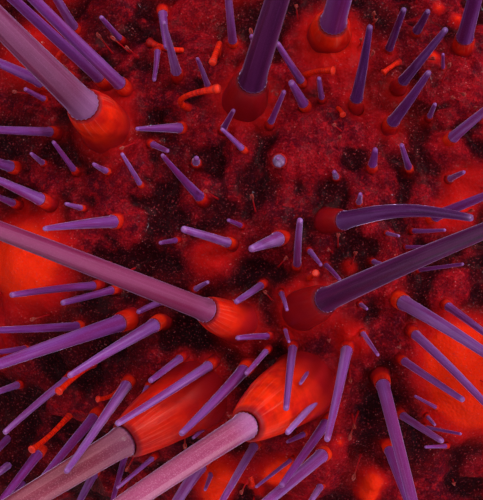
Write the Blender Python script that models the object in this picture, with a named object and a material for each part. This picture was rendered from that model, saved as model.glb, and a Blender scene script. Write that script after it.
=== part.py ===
"""A whole purple-spined sea urchin at life size, in metres, mouth down on its lower spines.

The shell is parted as a zoologist names it: five wide interambulacra and five narrower
ambulacra, each with its own spines fused to it, round an apical disc on top and a
peristome with five teeth underneath. The spines that the photograph shows stand where it
shows them, and rows of spines of the same kind cover the rest of the shell.
"""
import math
import random
from dataclasses import dataclass

import bmesh
import bpy
import numpy as np

# The shell
SHELL_RADIUS = 0.060
CROWN_HEIGHT = 0.034
UNDERSIDE_DEPTH = 0.024
UNDERSIDE_SQUARENESS = 0.8
MOUTH_ABOVE_FLOOR = 0.013
WAIST_Z = MOUTH_ABOVE_FLOOR + UNDERSIDE_DEPTH
JOINT_GAP = 0.0003
CORE_RADIUS = 0.003
SHOULDER_DEPTH = 0.0045

# The ten meridional areas
INTERAMBULACRUM_WIDTH = math.radians(42)
AMBULACRUM_WIDTH = math.radians(30)
FIFTH_OF_A_TURN = math.radians(72)
FIRST_AREA_AZIMUTH = math.radians(-91.0)
SHELL_BANDS = 10
FACET_ANGLE = math.radians(10.5)

# The apical disc, the peristome and the teeth
DISC_RADIUS = 0.010
DISC_SIDES = 20
PERIPROCT_RADIUS = 0.0032
PERIPROCT_RISE = 0.0007
GENITAL_PLATE_RISE = 0.0006
PERISTOME_RADIUS = 0.022
PERISTOME_SIDES = 30
LIP_RADIUS = 0.0070
LIP_DROP = 0.0012
MOUTH_RADIUS = 0.0048
MOUTH_DEPTH = 0.0032
TOOTH_COUNT = 5
TOOTH_LEVELS = 5
TOOTH_LENGTH = 0.0066
TOOTH_ROOT_RADIUS = 0.0043
TOOTH_TIP_RADIUS = 0.0009
TOOTH_CURVE = 1.6
TOOTH_FLANK = 0.9

# Primary spines by arc length from the apex: the row's place, spine length and shaft width
ROW_ARC = (0.0145, 0.022, 0.031, 0.041, 0.051, 0.061, 0.071, 0.081, 0.090, 0.099, 0.108, 0.117)
SIZE_ARC = (0.012, 0.022, 0.035, 0.085, 0.097, 0.108, 0.120)
SPINE_LENGTH = (0.017, 0.032, 0.048, 0.050, 0.036, 0.022, 0.016)
SPINE_WIDTH = (0.0015, 0.0020, 0.0024, 0.0024, 0.0021, 0.0018, 0.0016)
ROW_SPACING = 0.0105
ROW_STAGGER = 0.25
AROUND_SPREAD = 0.06
ARC_SPREAD = 0.0008
LENGTH_SPREAD = (0.86, 1.06)
WIDTH_SPREAD = (0.90, 1.08)
PRIMARY_TILT = math.radians(7)
UNDERSIDE_ARC = 0.088
UNDERSIDE_SPLAY = math.radians(14)
MOST_LEAN = math.radians(50)
MOST_STANDING = 0.056
REACH = 0.1060
FLOOR_CLEARANCE = 0.0020
LEAST_LENGTH_IN_WIDTHS = 3

# Secondary spines among them
SECONDARY_SPACING = 0.0050
SECONDARY_TRIES = 5200
SECONDARY_LENGTH = (0.24, 0.40)
SECONDARY_WIDTH = (0.0009, 0.0012)
SECONDARY_TILT = math.radians(15)
DISC_SPINE_LENGTH = 0.008
DISC_SPINE_WIDTH = 0.0010
DISC_SPINE_COUNT = 10
DISC_SPINE_PHASE = 0.33
DISC_SPINE_RING = 0.72

# Every spine: a broad muscle foot, a shaft and a blunt tip, in shares of the shaft's width
BULB_SHARE = 1.60
BULB_HEIGHT = 2.1
MOST_BULB = 0.4
SLIM_ROOT = 0.62
TIP_SHARE = 0.36
SINK = 1.1
SLIM_WIDTH = 0.0016
SPINE_SIDES = 5
SLIM_SIDES = 4
SPINE_GAP = 0.0004
MOST_TRIES = 30
MOST_SINE = 0.9

# The photograph's view of the upper side, in its own 483 by 500 pixels
PHOTO_WIDTH = 483
PHOTO_HEIGHT = 500
PHOTO_MARGIN = 8
PIXELS_PER_METRE = 10700
FACING_PIXEL = (310, 270)
FACING_ANGLE = math.radians(43)
VIEW_DISTANCE = 0.120
VIEW_SAMPLES = 9
UNSEEN_BANDS = ((50, 45, 280, 150), (10, 140, 455, 225))

# The spines in the photograph: foot and aim as pixels, then the millimetres from the foot
# to the aim, the whole length, the shaft's width and the tip's width
SEEN_SPINES = {
    "left_long": ((237, 322), (0, 232), 31, 50, 2.0, 0.9),
    "lower_left_long": ((196, 396), (30, 500), 20, 46, 2.6, 1.0),
    "lower_middle_long": ((302, 387), (137, 500), 29, 48, 2.2, 1.0),
    "right_dark": ((302, 310), (483, 233), 28, 36, 2.1, 0.9),
    "right_bent": ((328, 221), (472, 218), 20, 20, 1.6, 0.6),
    "top_bright": ((330, 48), (339, 0), 8, 45, 2.3, 1.0),
    "top_right": ((461, 54), (472, 10), 7, 30, 1.5, 0.7),
    "top_left_broad": ((105, 127), (0, 20), 24, 50, 2.7, 1.0),
    "top_middle_dark": ((246, 100), (279, 0), 18, 46, 2.4, 1.1),
    "top_left_first": ((105, 83), (16, 0), 17, 34, 1.1, 0.6),
    "top_left_second": ((126, 90), (36, 0), 18, 34, 1.2, 0.6),
    "left_middle": ((131, 319), (-5, 366), 20, 24, 1.5, 0.7),
    "left_pale_tip": ((161, 321), (69, 376), 17, 17, 1.2, 0.5),
    "centre_left_slim": ((213, 363), (117, 424), 19, 19, 0.9, 0.5),
    "centre_lower": ((248, 366), (181, 434), 17, 17, 1.1, 0.5),
    "centre_short": ((293, 345), (286, 409), 14, 14, 0.75, 0.5),
    "centre_down": ((348, 345), (327, 440), 18, 18, 1.0, 0.5),
    "lower_right_tall": ((381, 378), (412, 499), 21, 27, 1.2, 0.7),
    "lower_right_small": ((387, 444), (407, 499), 9, 12, 0.9, 0.5),
    "right_middle": ((398, 299), (483, 353), 19, 25, 1.3, 0.6),
    "right_slim": ((412, 331), (483, 402), 17, 20, 0.85, 0.5),
    "right_short": ((401, 359), (463, 400), 13, 13, 0.7, 0.5),
    "bottom_middle": ((327, 451), (270, 499), 14, 20, 1.2, 0.7),
    "bottom_left": ((99, 411), (33, 490), 13, 13, 0.95, 0.5),
    "lower_left_tapered": ((130, 380), (66, 472), 18, 18, 1.0, 0.5),
    "upper_right_first": ((355, 106), (370, 26), 13, 13, 1.1, 0.5),
    "upper_right_second": ((399, 86), (446, 29), 12, 12, 1.0, 0.5),
    "upper_right_third": ((389, 127), (429, 72), 12, 12, 1.1, 0.5),
    "upper_middle": ((306, 108), (291, 82), 6, 6, 0.9, 0.6),
    "left_slim": ((98, 285), (11, 295), 14, 14, 0.75, 0.5),
    "left_slim_short": ((116, 289), (62, 303), 9, 9, 0.7, 0.5),
    "left_low_slim": ((82, 326), (-5, 330), 14, 16, 0.8, 0.5),
    "lower_left_slim": ((70, 377), (10, 428), 12, 13, 0.75, 0.5),
    "centre_left_short": ((232, 244), (183, 229), 10, 10, 0.85, 0.6),
    "upper_left_level": ((55, 132), (0, 130), 10, 15, 0.85, 0.6),
    "centre_left_small": ((183, 356), (150, 381), 8, 8, 0.7, 0.5),
    "bottom_left_broad": ((204, 460), (179, 499), 8, 15, 1.2, 0.6),
    "bottom_left_short": ((256, 443), (224, 498), 13, 15, 0.8, 0.5),
    "bottom_middle_slim": ((328, 388), (287, 433), 11, 11, 0.7, 0.5),
    "bottom_middle_broad": ((329, 419), (281, 486), 14, 14, 0.9, 0.5),
    "right_edge": ((445, 304), (483, 332), 9, 12, 0.75, 0.5),
    "lower_right_short": ((400, 414), (442, 441), 10, 10, 0.7, 0.5),
    "middle_lit": ((283, 237), (251, 249), 9, 9, 1.25, 0.6),
    "middle_upright": ((297, 266), (300, 220), 14, 14, 0.7, 0.5),
    "middle_left": ((263, 284), (236, 302), 8, 8, 0.65, 0.5),
    "upper_right_slim": ((388, 52), (404, 9), 9, 9, 0.75, 0.5),
    "upper_right_stub": ((415, 34), (428, 11), 6, 6, 0.8, 0.5),
    "top_slim": ((233, 45), (229, 0), 9, 17, 0.8, 0.5),
    "top_left_slim": ((76, 31), (58, 0), 7, 16, 0.9, 0.6),
}

# Colours and finish
SPINE_COLOUR = (0.23, 0.05, 0.27, 1.0)
FLESH_COLOUR = (0.26, 0.012, 0.014, 1.0)
MEMBRANE_COLOUR = (0.30, 0.03, 0.04, 1.0)
TOOTH_COLOUR = (0.78, 0.72, 0.60, 1.0)
SPINE_ROUGHNESS = 0.55
FLESH_ROUGHNESS = 0.4
MEMBRANE_ROUGHNESS = 0.5
TOOTH_ROUGHNESS = 0.35
SEED = 11


@dataclass
class Spine:
    foot: np.ndarray
    direction: np.ndarray
    length: float
    width: float
    tip_width: float
    area: str
    stands: bool = False

    @property
    def tip(self):
        return self.foot + self.direction * self.length


def clear_scene():
    for item in list(bpy.data.objects):
        bpy.data.objects.remove(item, do_unlink=True)


def principled(name, colour, roughness):
    material = bpy.data.materials.new(name)
    material.use_nodes = True
    shader = material.node_tree.nodes["Principled BSDF"]
    shader.inputs["Base Color"].default_value = colour
    shader.inputs["Roughness"].default_value = roughness
    shader.inputs["Metallic"].default_value = 0.0
    material.diffuse_color = colour
    return material


def closed_object(name, vertices, faces, material):
    """A mesh object from vertices and faces, with its faces turned outwards."""
    shape = bmesh.new()
    corners = [shape.verts.new(point) for point in vertices]
    for face in faces:
        shape.faces.new([corners[index] for index in face])
    bmesh.ops.recalc_face_normals(shape, faces=shape.faces)
    mesh = bpy.data.meshes.new(name)
    shape.to_mesh(mesh)
    shape.free()
    mesh.materials.append(material)
    item = bpy.data.objects.new(name, mesh)
    bpy.context.scene.collection.objects.link(item)
    return item


# The shell's surface

def shell_meridian(angle):
    """Radius and height of the shell at an angle from the apex, 0, to the mouth, pi."""
    sine = np.sin(angle)
    cosine = np.abs(np.cos(angle))
    above = angle <= math.pi / 2
    radius = np.where(above, sine, sine ** UNDERSIDE_SQUARENESS) * SHELL_RADIUS
    fall = UNDERSIDE_DEPTH * cosine ** UNDERSIDE_SQUARENESS
    height = WAIST_Z + np.where(above, CROWN_HEIGHT * cosine, -fall)
    return radius, height


MERIDIAN_ANGLE = np.linspace(0, math.pi, 1441)
MERIDIAN_RADIUS, MERIDIAN_HEIGHT = shell_meridian(MERIDIAN_ANGLE)
MERIDIAN_STEPS = np.hypot(np.diff(MERIDIAN_RADIUS), np.diff(MERIDIAN_HEIGHT))
MERIDIAN_ARC = np.concatenate(([0.0], np.cumsum(MERIDIAN_STEPS)))
WAIST_INDEX = len(MERIDIAN_ANGLE) // 2
TOP_ARC = float(np.interp(DISC_RADIUS, MERIDIAN_RADIUS[:WAIST_INDEX], MERIDIAN_ARC[:WAIST_INDEX]))
BOTTOM_ARC = float(
    np.interp(-PERISTOME_RADIUS, -MERIDIAN_RADIUS[WAIST_INDEX:], MERIDIAN_ARC[WAIST_INDEX:])
)


def profile_at(arc):
    """Radius and height of the shell at an arc length from the apex."""
    radius = np.interp(arc, MERIDIAN_ARC, MERIDIAN_RADIUS)
    height = np.interp(arc, MERIDIAN_ARC, MERIDIAN_HEIGHT)
    return float(radius), float(height)


def frame_at(arc, azimuth, reach=0.0005):
    """Point, outward normal and down-the-shell tangent of the surface."""
    radius, height = profile_at(arc)
    radius_before, height_before = profile_at(arc - reach)
    radius_after, height_after = profile_at(arc + reach)
    outward = np.array([math.cos(azimuth), math.sin(azimuth), 0.0])
    upward = np.array([0.0, 0.0, 1.0])
    tangent = outward * (radius_after - radius_before) + upward * (height_after - height_before)
    tangent /= np.linalg.norm(tangent)
    around = np.array([-math.sin(azimuth), math.cos(azimuth), 0.0])
    return outward * radius + upward * height, np.cross(tangent, around), tangent


def areas():
    """Name, middle azimuth and width of each of the ten meridional areas."""
    for number in range(5):
        middle = FIRST_AREA_AZIMUTH + number * FIFTH_OF_A_TURN
        yield f"interambulacrum_{number + 1}", middle, INTERAMBULACRUM_WIDTH
        yield f"ambulacrum_{number + 1}", middle + FIFTH_OF_A_TURN / 2, AMBULACRUM_WIDTH


def area_of(azimuth):
    """The area that an azimuth falls in."""
    for name, middle, width in areas():
        turn = (azimuth - middle + math.pi) % (2 * math.pi) - math.pi
        if abs(turn) <= width / 2:
            return name, middle, width
    raise ValueError("the ten areas leave no gap")


def off_the_seams(point, room):
    """The point moved round the shell until its area's two seams are at least room away."""
    radius = math.hypot(point[0], point[1])
    azimuth = math.atan2(point[1], point[0])
    name, middle, width = area_of(azimuth)
    turn = (azimuth - middle + math.pi) % (2 * math.pi) - math.pi
    most = width / 2 - math.asin(min(MOST_SINE, room / radius))
    turn = max(-most, min(most, turn)) if most > 0 else 0.0
    azimuth = middle + turn
    return np.array([radius * math.cos(azimuth), radius * math.sin(azimuth), point[2]]), name


# The photograph's view

def unit(vector):
    return vector / np.linalg.norm(vector)


class PhotoView:
    """The view of the photograph: from a pixel to a ray or a point on the shell, and back."""

    def __init__(self):
        half_axes = np.array([SHELL_RADIUS, SHELL_RADIUS, CROWN_HEIGHT])
        self.half_axes = half_axes
        self.waist = np.array([0.0, 0.0, WAIST_Z])
        ellipse = np.array([0.0, -math.sin(FACING_ANGLE), math.cos(FACING_ANGLE)])
        facing = self.waist + ellipse * half_axes
        normal = unit(ellipse / half_axes)
        self.eye = facing + normal * VIEW_DISTANCE
        across = np.array([1.0, 0.0, 0.0])
        upwards = np.cross(across, -normal)
        right_of_middle = (FACING_PIXEL[0] - PHOTO_WIDTH / 2) / PIXELS_PER_METRE
        below_middle = (FACING_PIXEL[1] - PHOTO_HEIGHT / 2) / PIXELS_PER_METRE
        target = facing - across * right_of_middle + upwards * below_middle
        self.forward = unit(target - self.eye)
        self.right = unit(np.cross(self.forward, np.array([0.0, 0.0, 1.0])))
        self.up = np.cross(self.right, self.forward)
        self.focal = PIXELS_PER_METRE * VIEW_DISTANCE

    def ray(self, pixel):
        across = (pixel[0] - PHOTO_WIDTH / 2) / self.focal
        upwards = (PHOTO_HEIGHT / 2 - pixel[1]) / self.focal
        return self.forward + self.right * across + self.up * upwards

    def shell_travel(self, pixel):
        """How far along a pixel's ray the shell is met, or infinity."""
        start = (self.eye - self.waist) / self.half_axes
        step = self.ray(pixel) / self.half_axes
        square, cross, rest = step @ step, start @ step, start @ start - 1
        inside = cross * cross - square * rest
        return (-cross - math.sqrt(inside)) / square if inside > 0 else math.inf

    def shell_point(self, pixel):
        return self.eye + self.ray(pixel) * self.shell_travel(pixel)

    def pixel(self, point):
        offset = point - self.eye
        depth = offset @ self.forward
        across = offset @ self.right / depth * self.focal
        upwards = offset @ self.up / depth * self.focal
        return PHOTO_WIDTH / 2 + across, PHOTO_HEIGHT / 2 - upwards

    def direction(self, foot, aim, distance):
        """Direction of a spine that crosses the aim's ray at a distance from its foot."""
        ray = self.ray(aim)
        offset = self.eye - foot
        square, cross = ray @ ray, ray @ offset
        inside = cross * cross - square * (offset @ offset - distance * distance)
        travel = (-cross - math.sqrt(max(inside, 0.0))) / square
        return unit(self.eye + ray * travel - foot)

    def crosses(self, spine):
        """Whether any part of a spine shows in the photograph's frame, in front of the shell."""
        for share in np.linspace(0, 1, VIEW_SAMPLES):
            point = spine.foot + spine.direction * spine.length * share
            across, down = self.pixel(point)
            inside_width = -PHOTO_MARGIN < across < PHOTO_WIDTH + PHOTO_MARGIN
            if inside_width and -PHOTO_MARGIN < down < PHOTO_HEIGHT + PHOTO_MARGIN:
                depth = (point - self.eye) @ self.forward
                if depth < self.shell_travel((across, down)) + JOINT_GAP:
                    return True
        return False

    def hidden(self, foot):
        """Whether the photograph hides the skin at a spine's foot."""
        across, down = self.pixel(foot)
        return any(
            left < across < right and top < down < bottom for left, top, right, bottom in UNSEEN_BANDS
        )


# The spines' layout

class Thicket:
    """The spines set so far, with a test that keeps a new one clear of them."""

    def __init__(self):
        self.spines = []
        self.starts = np.empty((0, 3))
        self.runs = np.empty((0, 3))
        self.radii = np.empty((0, 2))

    def add(self, spine):
        self.spines.append(spine)
        self.starts = np.vstack([self.starts, spine.foot])
        self.runs = np.vstack([self.runs, spine.direction * spine.length])
        radii = [spine.width * BULB_SHARE / 2, spine.tip_width / 2]
        self.radii = np.vstack([self.radii, radii])

    def clear_of(self, spine, gap=SPINE_GAP):
        """Whether a spine, as a tapered capsule, keeps the gap to every other."""
        if not self.spines:
            return True
        run = spine.direction * spine.length
        offset = spine.foot - self.starts
        own_square = run @ run
        other_square = np.einsum("ij,ij->i", self.runs, self.runs)
        own_offset = offset @ run
        other_offset = np.einsum("ij,ij->i", self.runs, offset)
        both = self.runs @ run
        spread = np.maximum(own_square * other_square - both * both, 1e-16)
        own = np.clip((both * other_offset - own_offset * other_square) / spread, 0, 1)
        other = np.clip((both * own + other_offset) / other_square, 0, 1)
        own = np.clip((both * other - own_offset) / own_square, 0, 1)
        between = offset + own[:, None] * run - other[:, None] * self.runs
        own_radius = spine.width * BULB_SHARE / 2 * (1 - own) + spine.tip_width / 2 * own
        other_radius = self.radii[:, 0] * (1 - other) + self.radii[:, 1] * other
        distance = np.linalg.norm(between, axis=1)
        return bool(np.all(distance - own_radius - other_radius > gap))


def tilted(normal, tangent, lean, turn):
    """The normal leant by an angle towards a compass turn about it."""
    around = np.cross(normal, tangent)
    side = tangent * math.cos(turn) + around * math.sin(turn)
    return normal * math.cos(lean) + side * math.sin(lean)


def seam_room(width, lean):
    """Distance that a spine's foot keeps from a seam, so that its whole root stays inside."""
    root = width * BULB_SHARE / 2
    return root / math.cos(lean) + width * SINK * math.sin(lean) + JOINT_GAP * 2


def cut_to_size(spine):
    """Shorten a spine to the box round the animal and to the floor, or refuse it."""
    tip = spine.tip
    for axis in (0, 1):
        if abs(tip[axis]) > REACH:
            spine.length = (REACH - abs(spine.foot[axis])) / abs(spine.direction[axis])
            tip = spine.tip
    if spine.direction[2] < 0:
        to_floor = spine.foot[2] / -spine.direction[2]
        if spine.stands:
            spine.length = to_floor
            if to_floor > MOST_STANDING or max(abs(spine.tip[0]), abs(spine.tip[1])) > REACH:
                return False
        elif tip[2] < FLOOR_CLEARANCE:
            spine.length = (spine.foot[2] - FLOOR_CLEARANCE) / -spine.direction[2]
    else:
        spine.stands = False
    return spine.length > spine.width * LEAST_LENGTH_IN_WIDTHS


def seen_spines(view, thicket):
    for foot, aim, to_aim, length, width, tip_width in SEEN_SPINES.values():
        on_shell = view.shell_point(foot)
        direction = view.direction(on_shell, aim, to_aim / 1000)
        normal = unit((on_shell - view.waist) / view.half_axes ** 2)
        lean = math.acos(min(1.0, float(normal @ direction)))
        room = seam_room(width / 1000, lean)
        on_shell, area = off_the_seams(on_shell, room)
        direction = view.direction(on_shell, aim, to_aim / 1000)
        spine = Spine(on_shell, direction, length / 1000, width / 1000, tip_width / 1000, area)
        thicket.add(spine)


def grow(thicket, view, draw, arc, azimuth, length, width, tilt, stands=False, hidden_only=False):
    """Set one spine near the surface normal, leaning as it must to keep clear."""
    point, normal, tangent = frame_at(arc, azimuth)
    splay = -UNDERSIDE_SPLAY if arc > UNDERSIDE_ARC else 0.0
    for attempt in range(MOST_TRIES):
        lean = abs(draw.gauss(0.0, tilt)) * (1 + attempt / MOST_TRIES)
        direction = tilted(normal, tangent, lean, draw.uniform(0, 2 * math.pi))
        direction = unit(direction + tangent * math.sin(splay))
        whole_lean = math.acos(min(1.0, float(normal @ direction)))
        if whole_lean > MOST_LEAN:
            continue
        foot, area = off_the_seams(point, seam_room(width, whole_lean))
        spine = Spine(foot, direction, length, width, width * TIP_SHARE, area, stands)
        if not cut_to_size(spine):
            continue
        if view.crosses(spine) and not (hidden_only and view.hidden(foot)):
            continue
        if thicket.clear_of(spine):
            thicket.add(spine)
            return True
    return False


def primary_rows(view, thicket, draw):
    """Rows of long spines round the shell, evenly set within each area."""
    for row, arc in enumerate(ROW_ARC):
        radius = profile_at(arc)[0]
        for name, middle, width in areas():
            count = max(1, round(radius * width / ROW_SPACING))
            for place in range(count):
                stagger = ROW_STAGGER if row % 2 else -ROW_STAGGER
                share = (place + 0.5 + stagger * (count > 1)) / count - 0.5
                azimuth = middle + width * (share + draw.uniform(-AROUND_SPREAD, AROUND_SPREAD) / count)
                here = arc + draw.uniform(-ARC_SPREAD, ARC_SPREAD)
                length = np.interp(here, SIZE_ARC, SPINE_LENGTH) * draw.uniform(*LENGTH_SPREAD)
                spine_width = np.interp(here, SIZE_ARC, SPINE_WIDTH) * draw.uniform(*WIDTH_SPREAD)
                stands = arc > UNDERSIDE_ARC and (row + place) % 2 == 0
                grow(thicket, view, draw, here, azimuth, length, spine_width, PRIMARY_TILT, stands)


def secondary_scatter(view, thicket, draw):
    """Shorter spines in the room that the long ones leave, evenly scattered."""
    lowest = BOTTOM_ARC - SECONDARY_SPACING / 2
    highest = TOP_ARC + SECONDARY_SPACING / 2
    for _ in range(SECONDARY_TRIES):
        arc = draw.uniform(highest, lowest)
        keep = draw.random() < profile_at(arc)[0] / SHELL_RADIUS
        azimuth = draw.uniform(-math.pi, math.pi)
        if not keep:
            continue
        point = frame_at(arc, azimuth)[0]
        if np.min(np.linalg.norm(thicket.starts - point, axis=1)) < SECONDARY_SPACING:
            continue
        length = np.interp(arc, SIZE_ARC, SPINE_LENGTH) * draw.uniform(*SECONDARY_LENGTH)
        width = draw.uniform(*SECONDARY_WIDTH)
        grow(thicket, view, draw, arc, azimuth, length, width, SECONDARY_TILT, hidden_only=True)


def lay_out_spines():
    """Every spine of the ten areas, the photographed ones first."""
    draw = random.Random(SEED)
    view = PhotoView()
    thicket = Thicket()
    seen_spines(view, thicket)
    primary_rows(view, thicket, draw)
    secondary_scatter(view, thicket, draw)
    return thicket


def disc_spines(thicket):
    """A ring of short spines on the apical disc's outer plates."""
    tip_width = DISC_SPINE_WIDTH * TIP_SHARE
    for number in range(DISC_SPINE_COUNT):
        azimuth = 2 * math.pi * (number + DISC_SPINE_PHASE) / DISC_SPINE_COUNT
        point, normal, _ = frame_at(DISC_RADIUS * DISC_SPINE_RING, azimuth)
        spine = Spine(point, normal, DISC_SPINE_LENGTH, DISC_SPINE_WIDTH, tip_width, "apical_disc")
        if thicket.clear_of(spine):
            thicket.add(spine)


# Solids

def spine_rings(spine):
    """Distance along the spine and radius of each ring, from the sunk root to the tip."""
    tip = (spine.length, spine.tip_width / 2)
    if spine.width <= SLIM_WIDTH:
        return [(-spine.width * SINK, spine.width * SLIM_ROOT), tip]
    root = (-spine.width * SINK, spine.width * BULB_SHARE / 2)
    shoulder = (min(spine.width * BULB_HEIGHT, spine.length * MOST_BULB), spine.width / 2)
    return [root, shoulder, tip]


def spine_object(spine, number, material):
    sides = SPINE_SIDES if spine.width > SLIM_WIDTH else SLIM_SIDES
    helper = np.array([0.0, 0.0, 1.0]) if abs(spine.direction[2]) < 0.9 else np.array([1.0, 0.0, 0.0])
    across = unit(np.cross(spine.direction, helper))
    along = np.cross(spine.direction, across)
    rings = spine_rings(spine)
    vertices = []
    for distance, radius in rings:
        for side in range(sides):
            turn = 2 * math.pi * side / sides
            offset = across * math.cos(turn) + along * math.sin(turn)
            vertices.append(spine.foot + spine.direction * distance + offset * radius)
    if spine.stands:
        for index in range(len(vertices) - sides, len(vertices)):
            down = vertices[index][2] / spine.direction[2]
            vertices[index] = vertices[index] - spine.direction * down
            vertices[index][2] = 0.0
    faces = [tuple(range(sides))]
    for ring in range(len(rings) - 1):
        for side in range(sides):
            after = (side + 1) % sides
            here = ring * sides
            faces.append((here + side, here + sides + side, here + sides + after, here + after))
    faces.append(tuple((len(rings) - 1) * sides + side for side in range(sides)))
    return closed_object(f"spine_{number}", vertices, faces, material)


def largest_surface(item):
    """Keep only the closed surface of an object that holds the most."""
    shape = bmesh.new()
    shape.from_mesh(item.data)
    left = set(shape.verts)
    pieces = []
    while left:
        start = left.pop()
        piece = {start}
        front = [start]
        while front:
            corner = front.pop()
            for edge in corner.link_edges:
                other = edge.other_vert(corner)
                if other in left:
                    left.remove(other)
                    piece.add(other)
                    front.append(other)
        pieces.append(piece)
    pieces.sort(key=len, reverse=True)
    scraps = [corner for piece in pieces[1:] for corner in piece]
    if scraps:
        bmesh.ops.delete(shape, geom=scraps, context="VERTS")
    shape.to_mesh(item.data)
    shape.free()


def fuse(body, pieces):
    """Join closed pieces to a body with one union, and remove them."""
    collection = bpy.data.collections.new(body.name + "_pieces")
    bpy.context.scene.collection.children.link(collection)
    for piece in pieces:
        bpy.context.scene.collection.objects.unlink(piece)
        collection.objects.link(piece)
    union = body.modifiers.new("union", "BOOLEAN")
    union.operation = "UNION"
    union.operand_type = "COLLECTION"
    union.collection = collection
    union.solver = "EXACT"
    union.material_mode = "TRANSFER"
    graph = bpy.context.evaluated_depsgraph_get()
    mesh = bpy.data.meshes.new_from_object(body.evaluated_get(graph))
    body.modifiers.clear()
    body.data = mesh
    for piece in pieces:
        bpy.data.objects.remove(piece, do_unlink=True)
    bpy.data.collections.remove(collection)
    largest_surface(body)


def area_solid(name, middle, width, material):
    """One meridional area of the shell as a solid segment, like an orange's."""
    arcs = np.linspace(TOP_ARC, BOTTOM_ARC, SHELL_BANDS + 1)
    outline = [profile_at(arc) for arc in arcs]
    top = outline[0][1] - SHOULDER_DEPTH
    bottom = outline[-1][1] + SHOULDER_DEPTH
    outline += [(PERISTOME_RADIUS, bottom), (CORE_RADIUS, bottom), (CORE_RADIUS, top), (DISC_RADIUS, top)]
    columns = max(2, round(width / FACET_ANGLE))
    vertices = []
    for radius, height in outline:
        half_turn = width / 2 - math.asin(JOINT_GAP / 2 / radius)
        for column in range(columns + 1):
            azimuth = middle + half_turn * (2 * column / columns - 1)
            vertices.append((radius * math.cos(azimuth), radius * math.sin(azimuth), height))
    rows = len(outline)
    step = columns + 1
    faces = []
    for row in range(rows):
        below = (row + 1) % rows
        for column in range(columns):
            here = row * step + column
            there = below * step + column
            faces.append((here, there, there + 1, here + 1))
    faces.append([row * step for row in range(rows)])
    faces.append([row * step + columns for row in range(rows)])
    return closed_object(name, vertices, faces, material)


def turned_solid(name, outline, sides, material, lift=None):
    """A solid turned about the axis; outline runs from centre to centre."""
    vertices = [(0.0, 0.0, outline[0][1])]
    for radius, height in outline[1:-1]:
        for side in range(sides):
            azimuth = 2 * math.pi * side / sides
            raised = lift(radius, height, azimuth) if lift else 0.0
            vertices.append((radius * math.cos(azimuth), radius * math.sin(azimuth), height + raised))
    vertices.append((0.0, 0.0, outline[-1][1]))
    last = len(vertices) - 1
    rings = len(outline) - 2
    faces = []
    for side in range(sides):
        after = (side + 1) % sides
        faces.append((0, 1 + side, 1 + after))
        for ring in range(rings - 1):
            inner = 1 + ring * sides
            outer = inner + sides
            faces.append((inner + side, outer + side, outer + after, inner + after))
        faces.append((1 + (rings - 1) * sides + after, 1 + (rings - 1) * sides + side, last))
    return closed_object(name, vertices, faces, material)


def genital_plates(radius, height, azimuth):
    """Five low swellings on the middle ring of the apical disc's upper face."""
    if not math.isclose(radius, (PERIPROCT_RADIUS + DISC_RADIUS) / 2):
        return 0.0
    return GENITAL_PLATE_RISE * max(0.0, math.cos(5 * azimuth))


def apical_disc(material):
    """The cap round the anus: a low middle cone ringed by five raised genital plates."""
    rim = DISC_RADIUS - JOINT_GAP
    base = profile_at(TOP_ARC)[1] - SHOULDER_DEPTH + JOINT_GAP
    middle_ring = (PERIPROCT_RADIUS + DISC_RADIUS) / 2
    crown = profile_at(0.0)[1]
    outline = [
        (0.0, crown + PERIPROCT_RISE),
        (PERIPROCT_RADIUS, profile_at(PERIPROCT_RADIUS)[1]),
        (middle_ring, profile_at(middle_ring)[1]),
        (rim, profile_at(TOP_ARC)[1]),
        (rim, base),
        (0.0, base),
    ]
    return turned_solid("apical_disc", outline, DISC_SIDES, material, genital_plates)


def peristome(material):
    """The soft membrane round the mouth, with a raised lip and the open mouth."""
    rim = PERISTOME_RADIUS - JOINT_GAP
    base = profile_at(BOTTOM_ARC)[1]
    inner = base + SHOULDER_DEPTH - JOINT_GAP
    lip = base - LIP_DROP
    outline = [
        (0.0, inner),
        (rim, inner),
        (rim, base),
        ((rim + LIP_RADIUS) / 2, base + JOINT_GAP),
        (LIP_RADIUS, lip),
        (MOUTH_RADIUS, lip),
        (MOUTH_RADIUS, lip + MOUTH_DEPTH),
        (0.0, lip + MOUTH_DEPTH),
    ]
    return turned_solid("peristome", outline, PERISTOME_SIDES, material)


def tooth(number, material):
    """One of the five teeth: a wedge that narrows and curves in to meet the others."""
    top = profile_at(BOTTOM_ARC)[1] - LIP_DROP + MOUTH_DEPTH - JOINT_GAP
    middle = FIRST_AREA_AZIMUTH + number * FIFTH_OF_A_TURN
    inner = JOINT_GAP / 2 / math.sin(FIFTH_OF_A_TURN / 2)
    vertices = []
    for level in range(TOOTH_LEVELS):
        share = level / (TOOTH_LEVELS - 1)
        outer = TOOTH_TIP_RADIUS + (TOOTH_ROOT_RADIUS - TOOTH_TIP_RADIUS) * (1 - share ** TOOTH_CURVE)
        flank = outer * TOOTH_FLANK
        half_turn = FIFTH_OF_A_TURN / 2 - math.asin(JOINT_GAP / 2 / flank)
        height = top - share * TOOTH_LENGTH
        for radius, turn in ((inner, 0.0), (flank, -half_turn), (outer, 0.0), (flank, half_turn)):
            azimuth = middle + turn
            vertices.append((radius * math.cos(azimuth), radius * math.sin(azimuth), height))
    faces = [(0, 1, 2, 3), tuple(4 * (TOOTH_LEVELS - 1) + corner for corner in range(4))]
    for level in range(TOOTH_LEVELS - 1):
        here = 4 * level
        for corner in range(4):
            after = (corner + 1) % 4
            faces.append((here + corner, here + 4 + corner, here + 4 + after, here + after))
    return closed_object(f"tooth_{number + 1}", vertices, faces, material)


def spine_objects(spines, area, material):
    chosen = [spine for spine in spines if spine.area == area]
    return [spine_object(spine, number, material) for number, spine in enumerate(chosen)]


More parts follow.
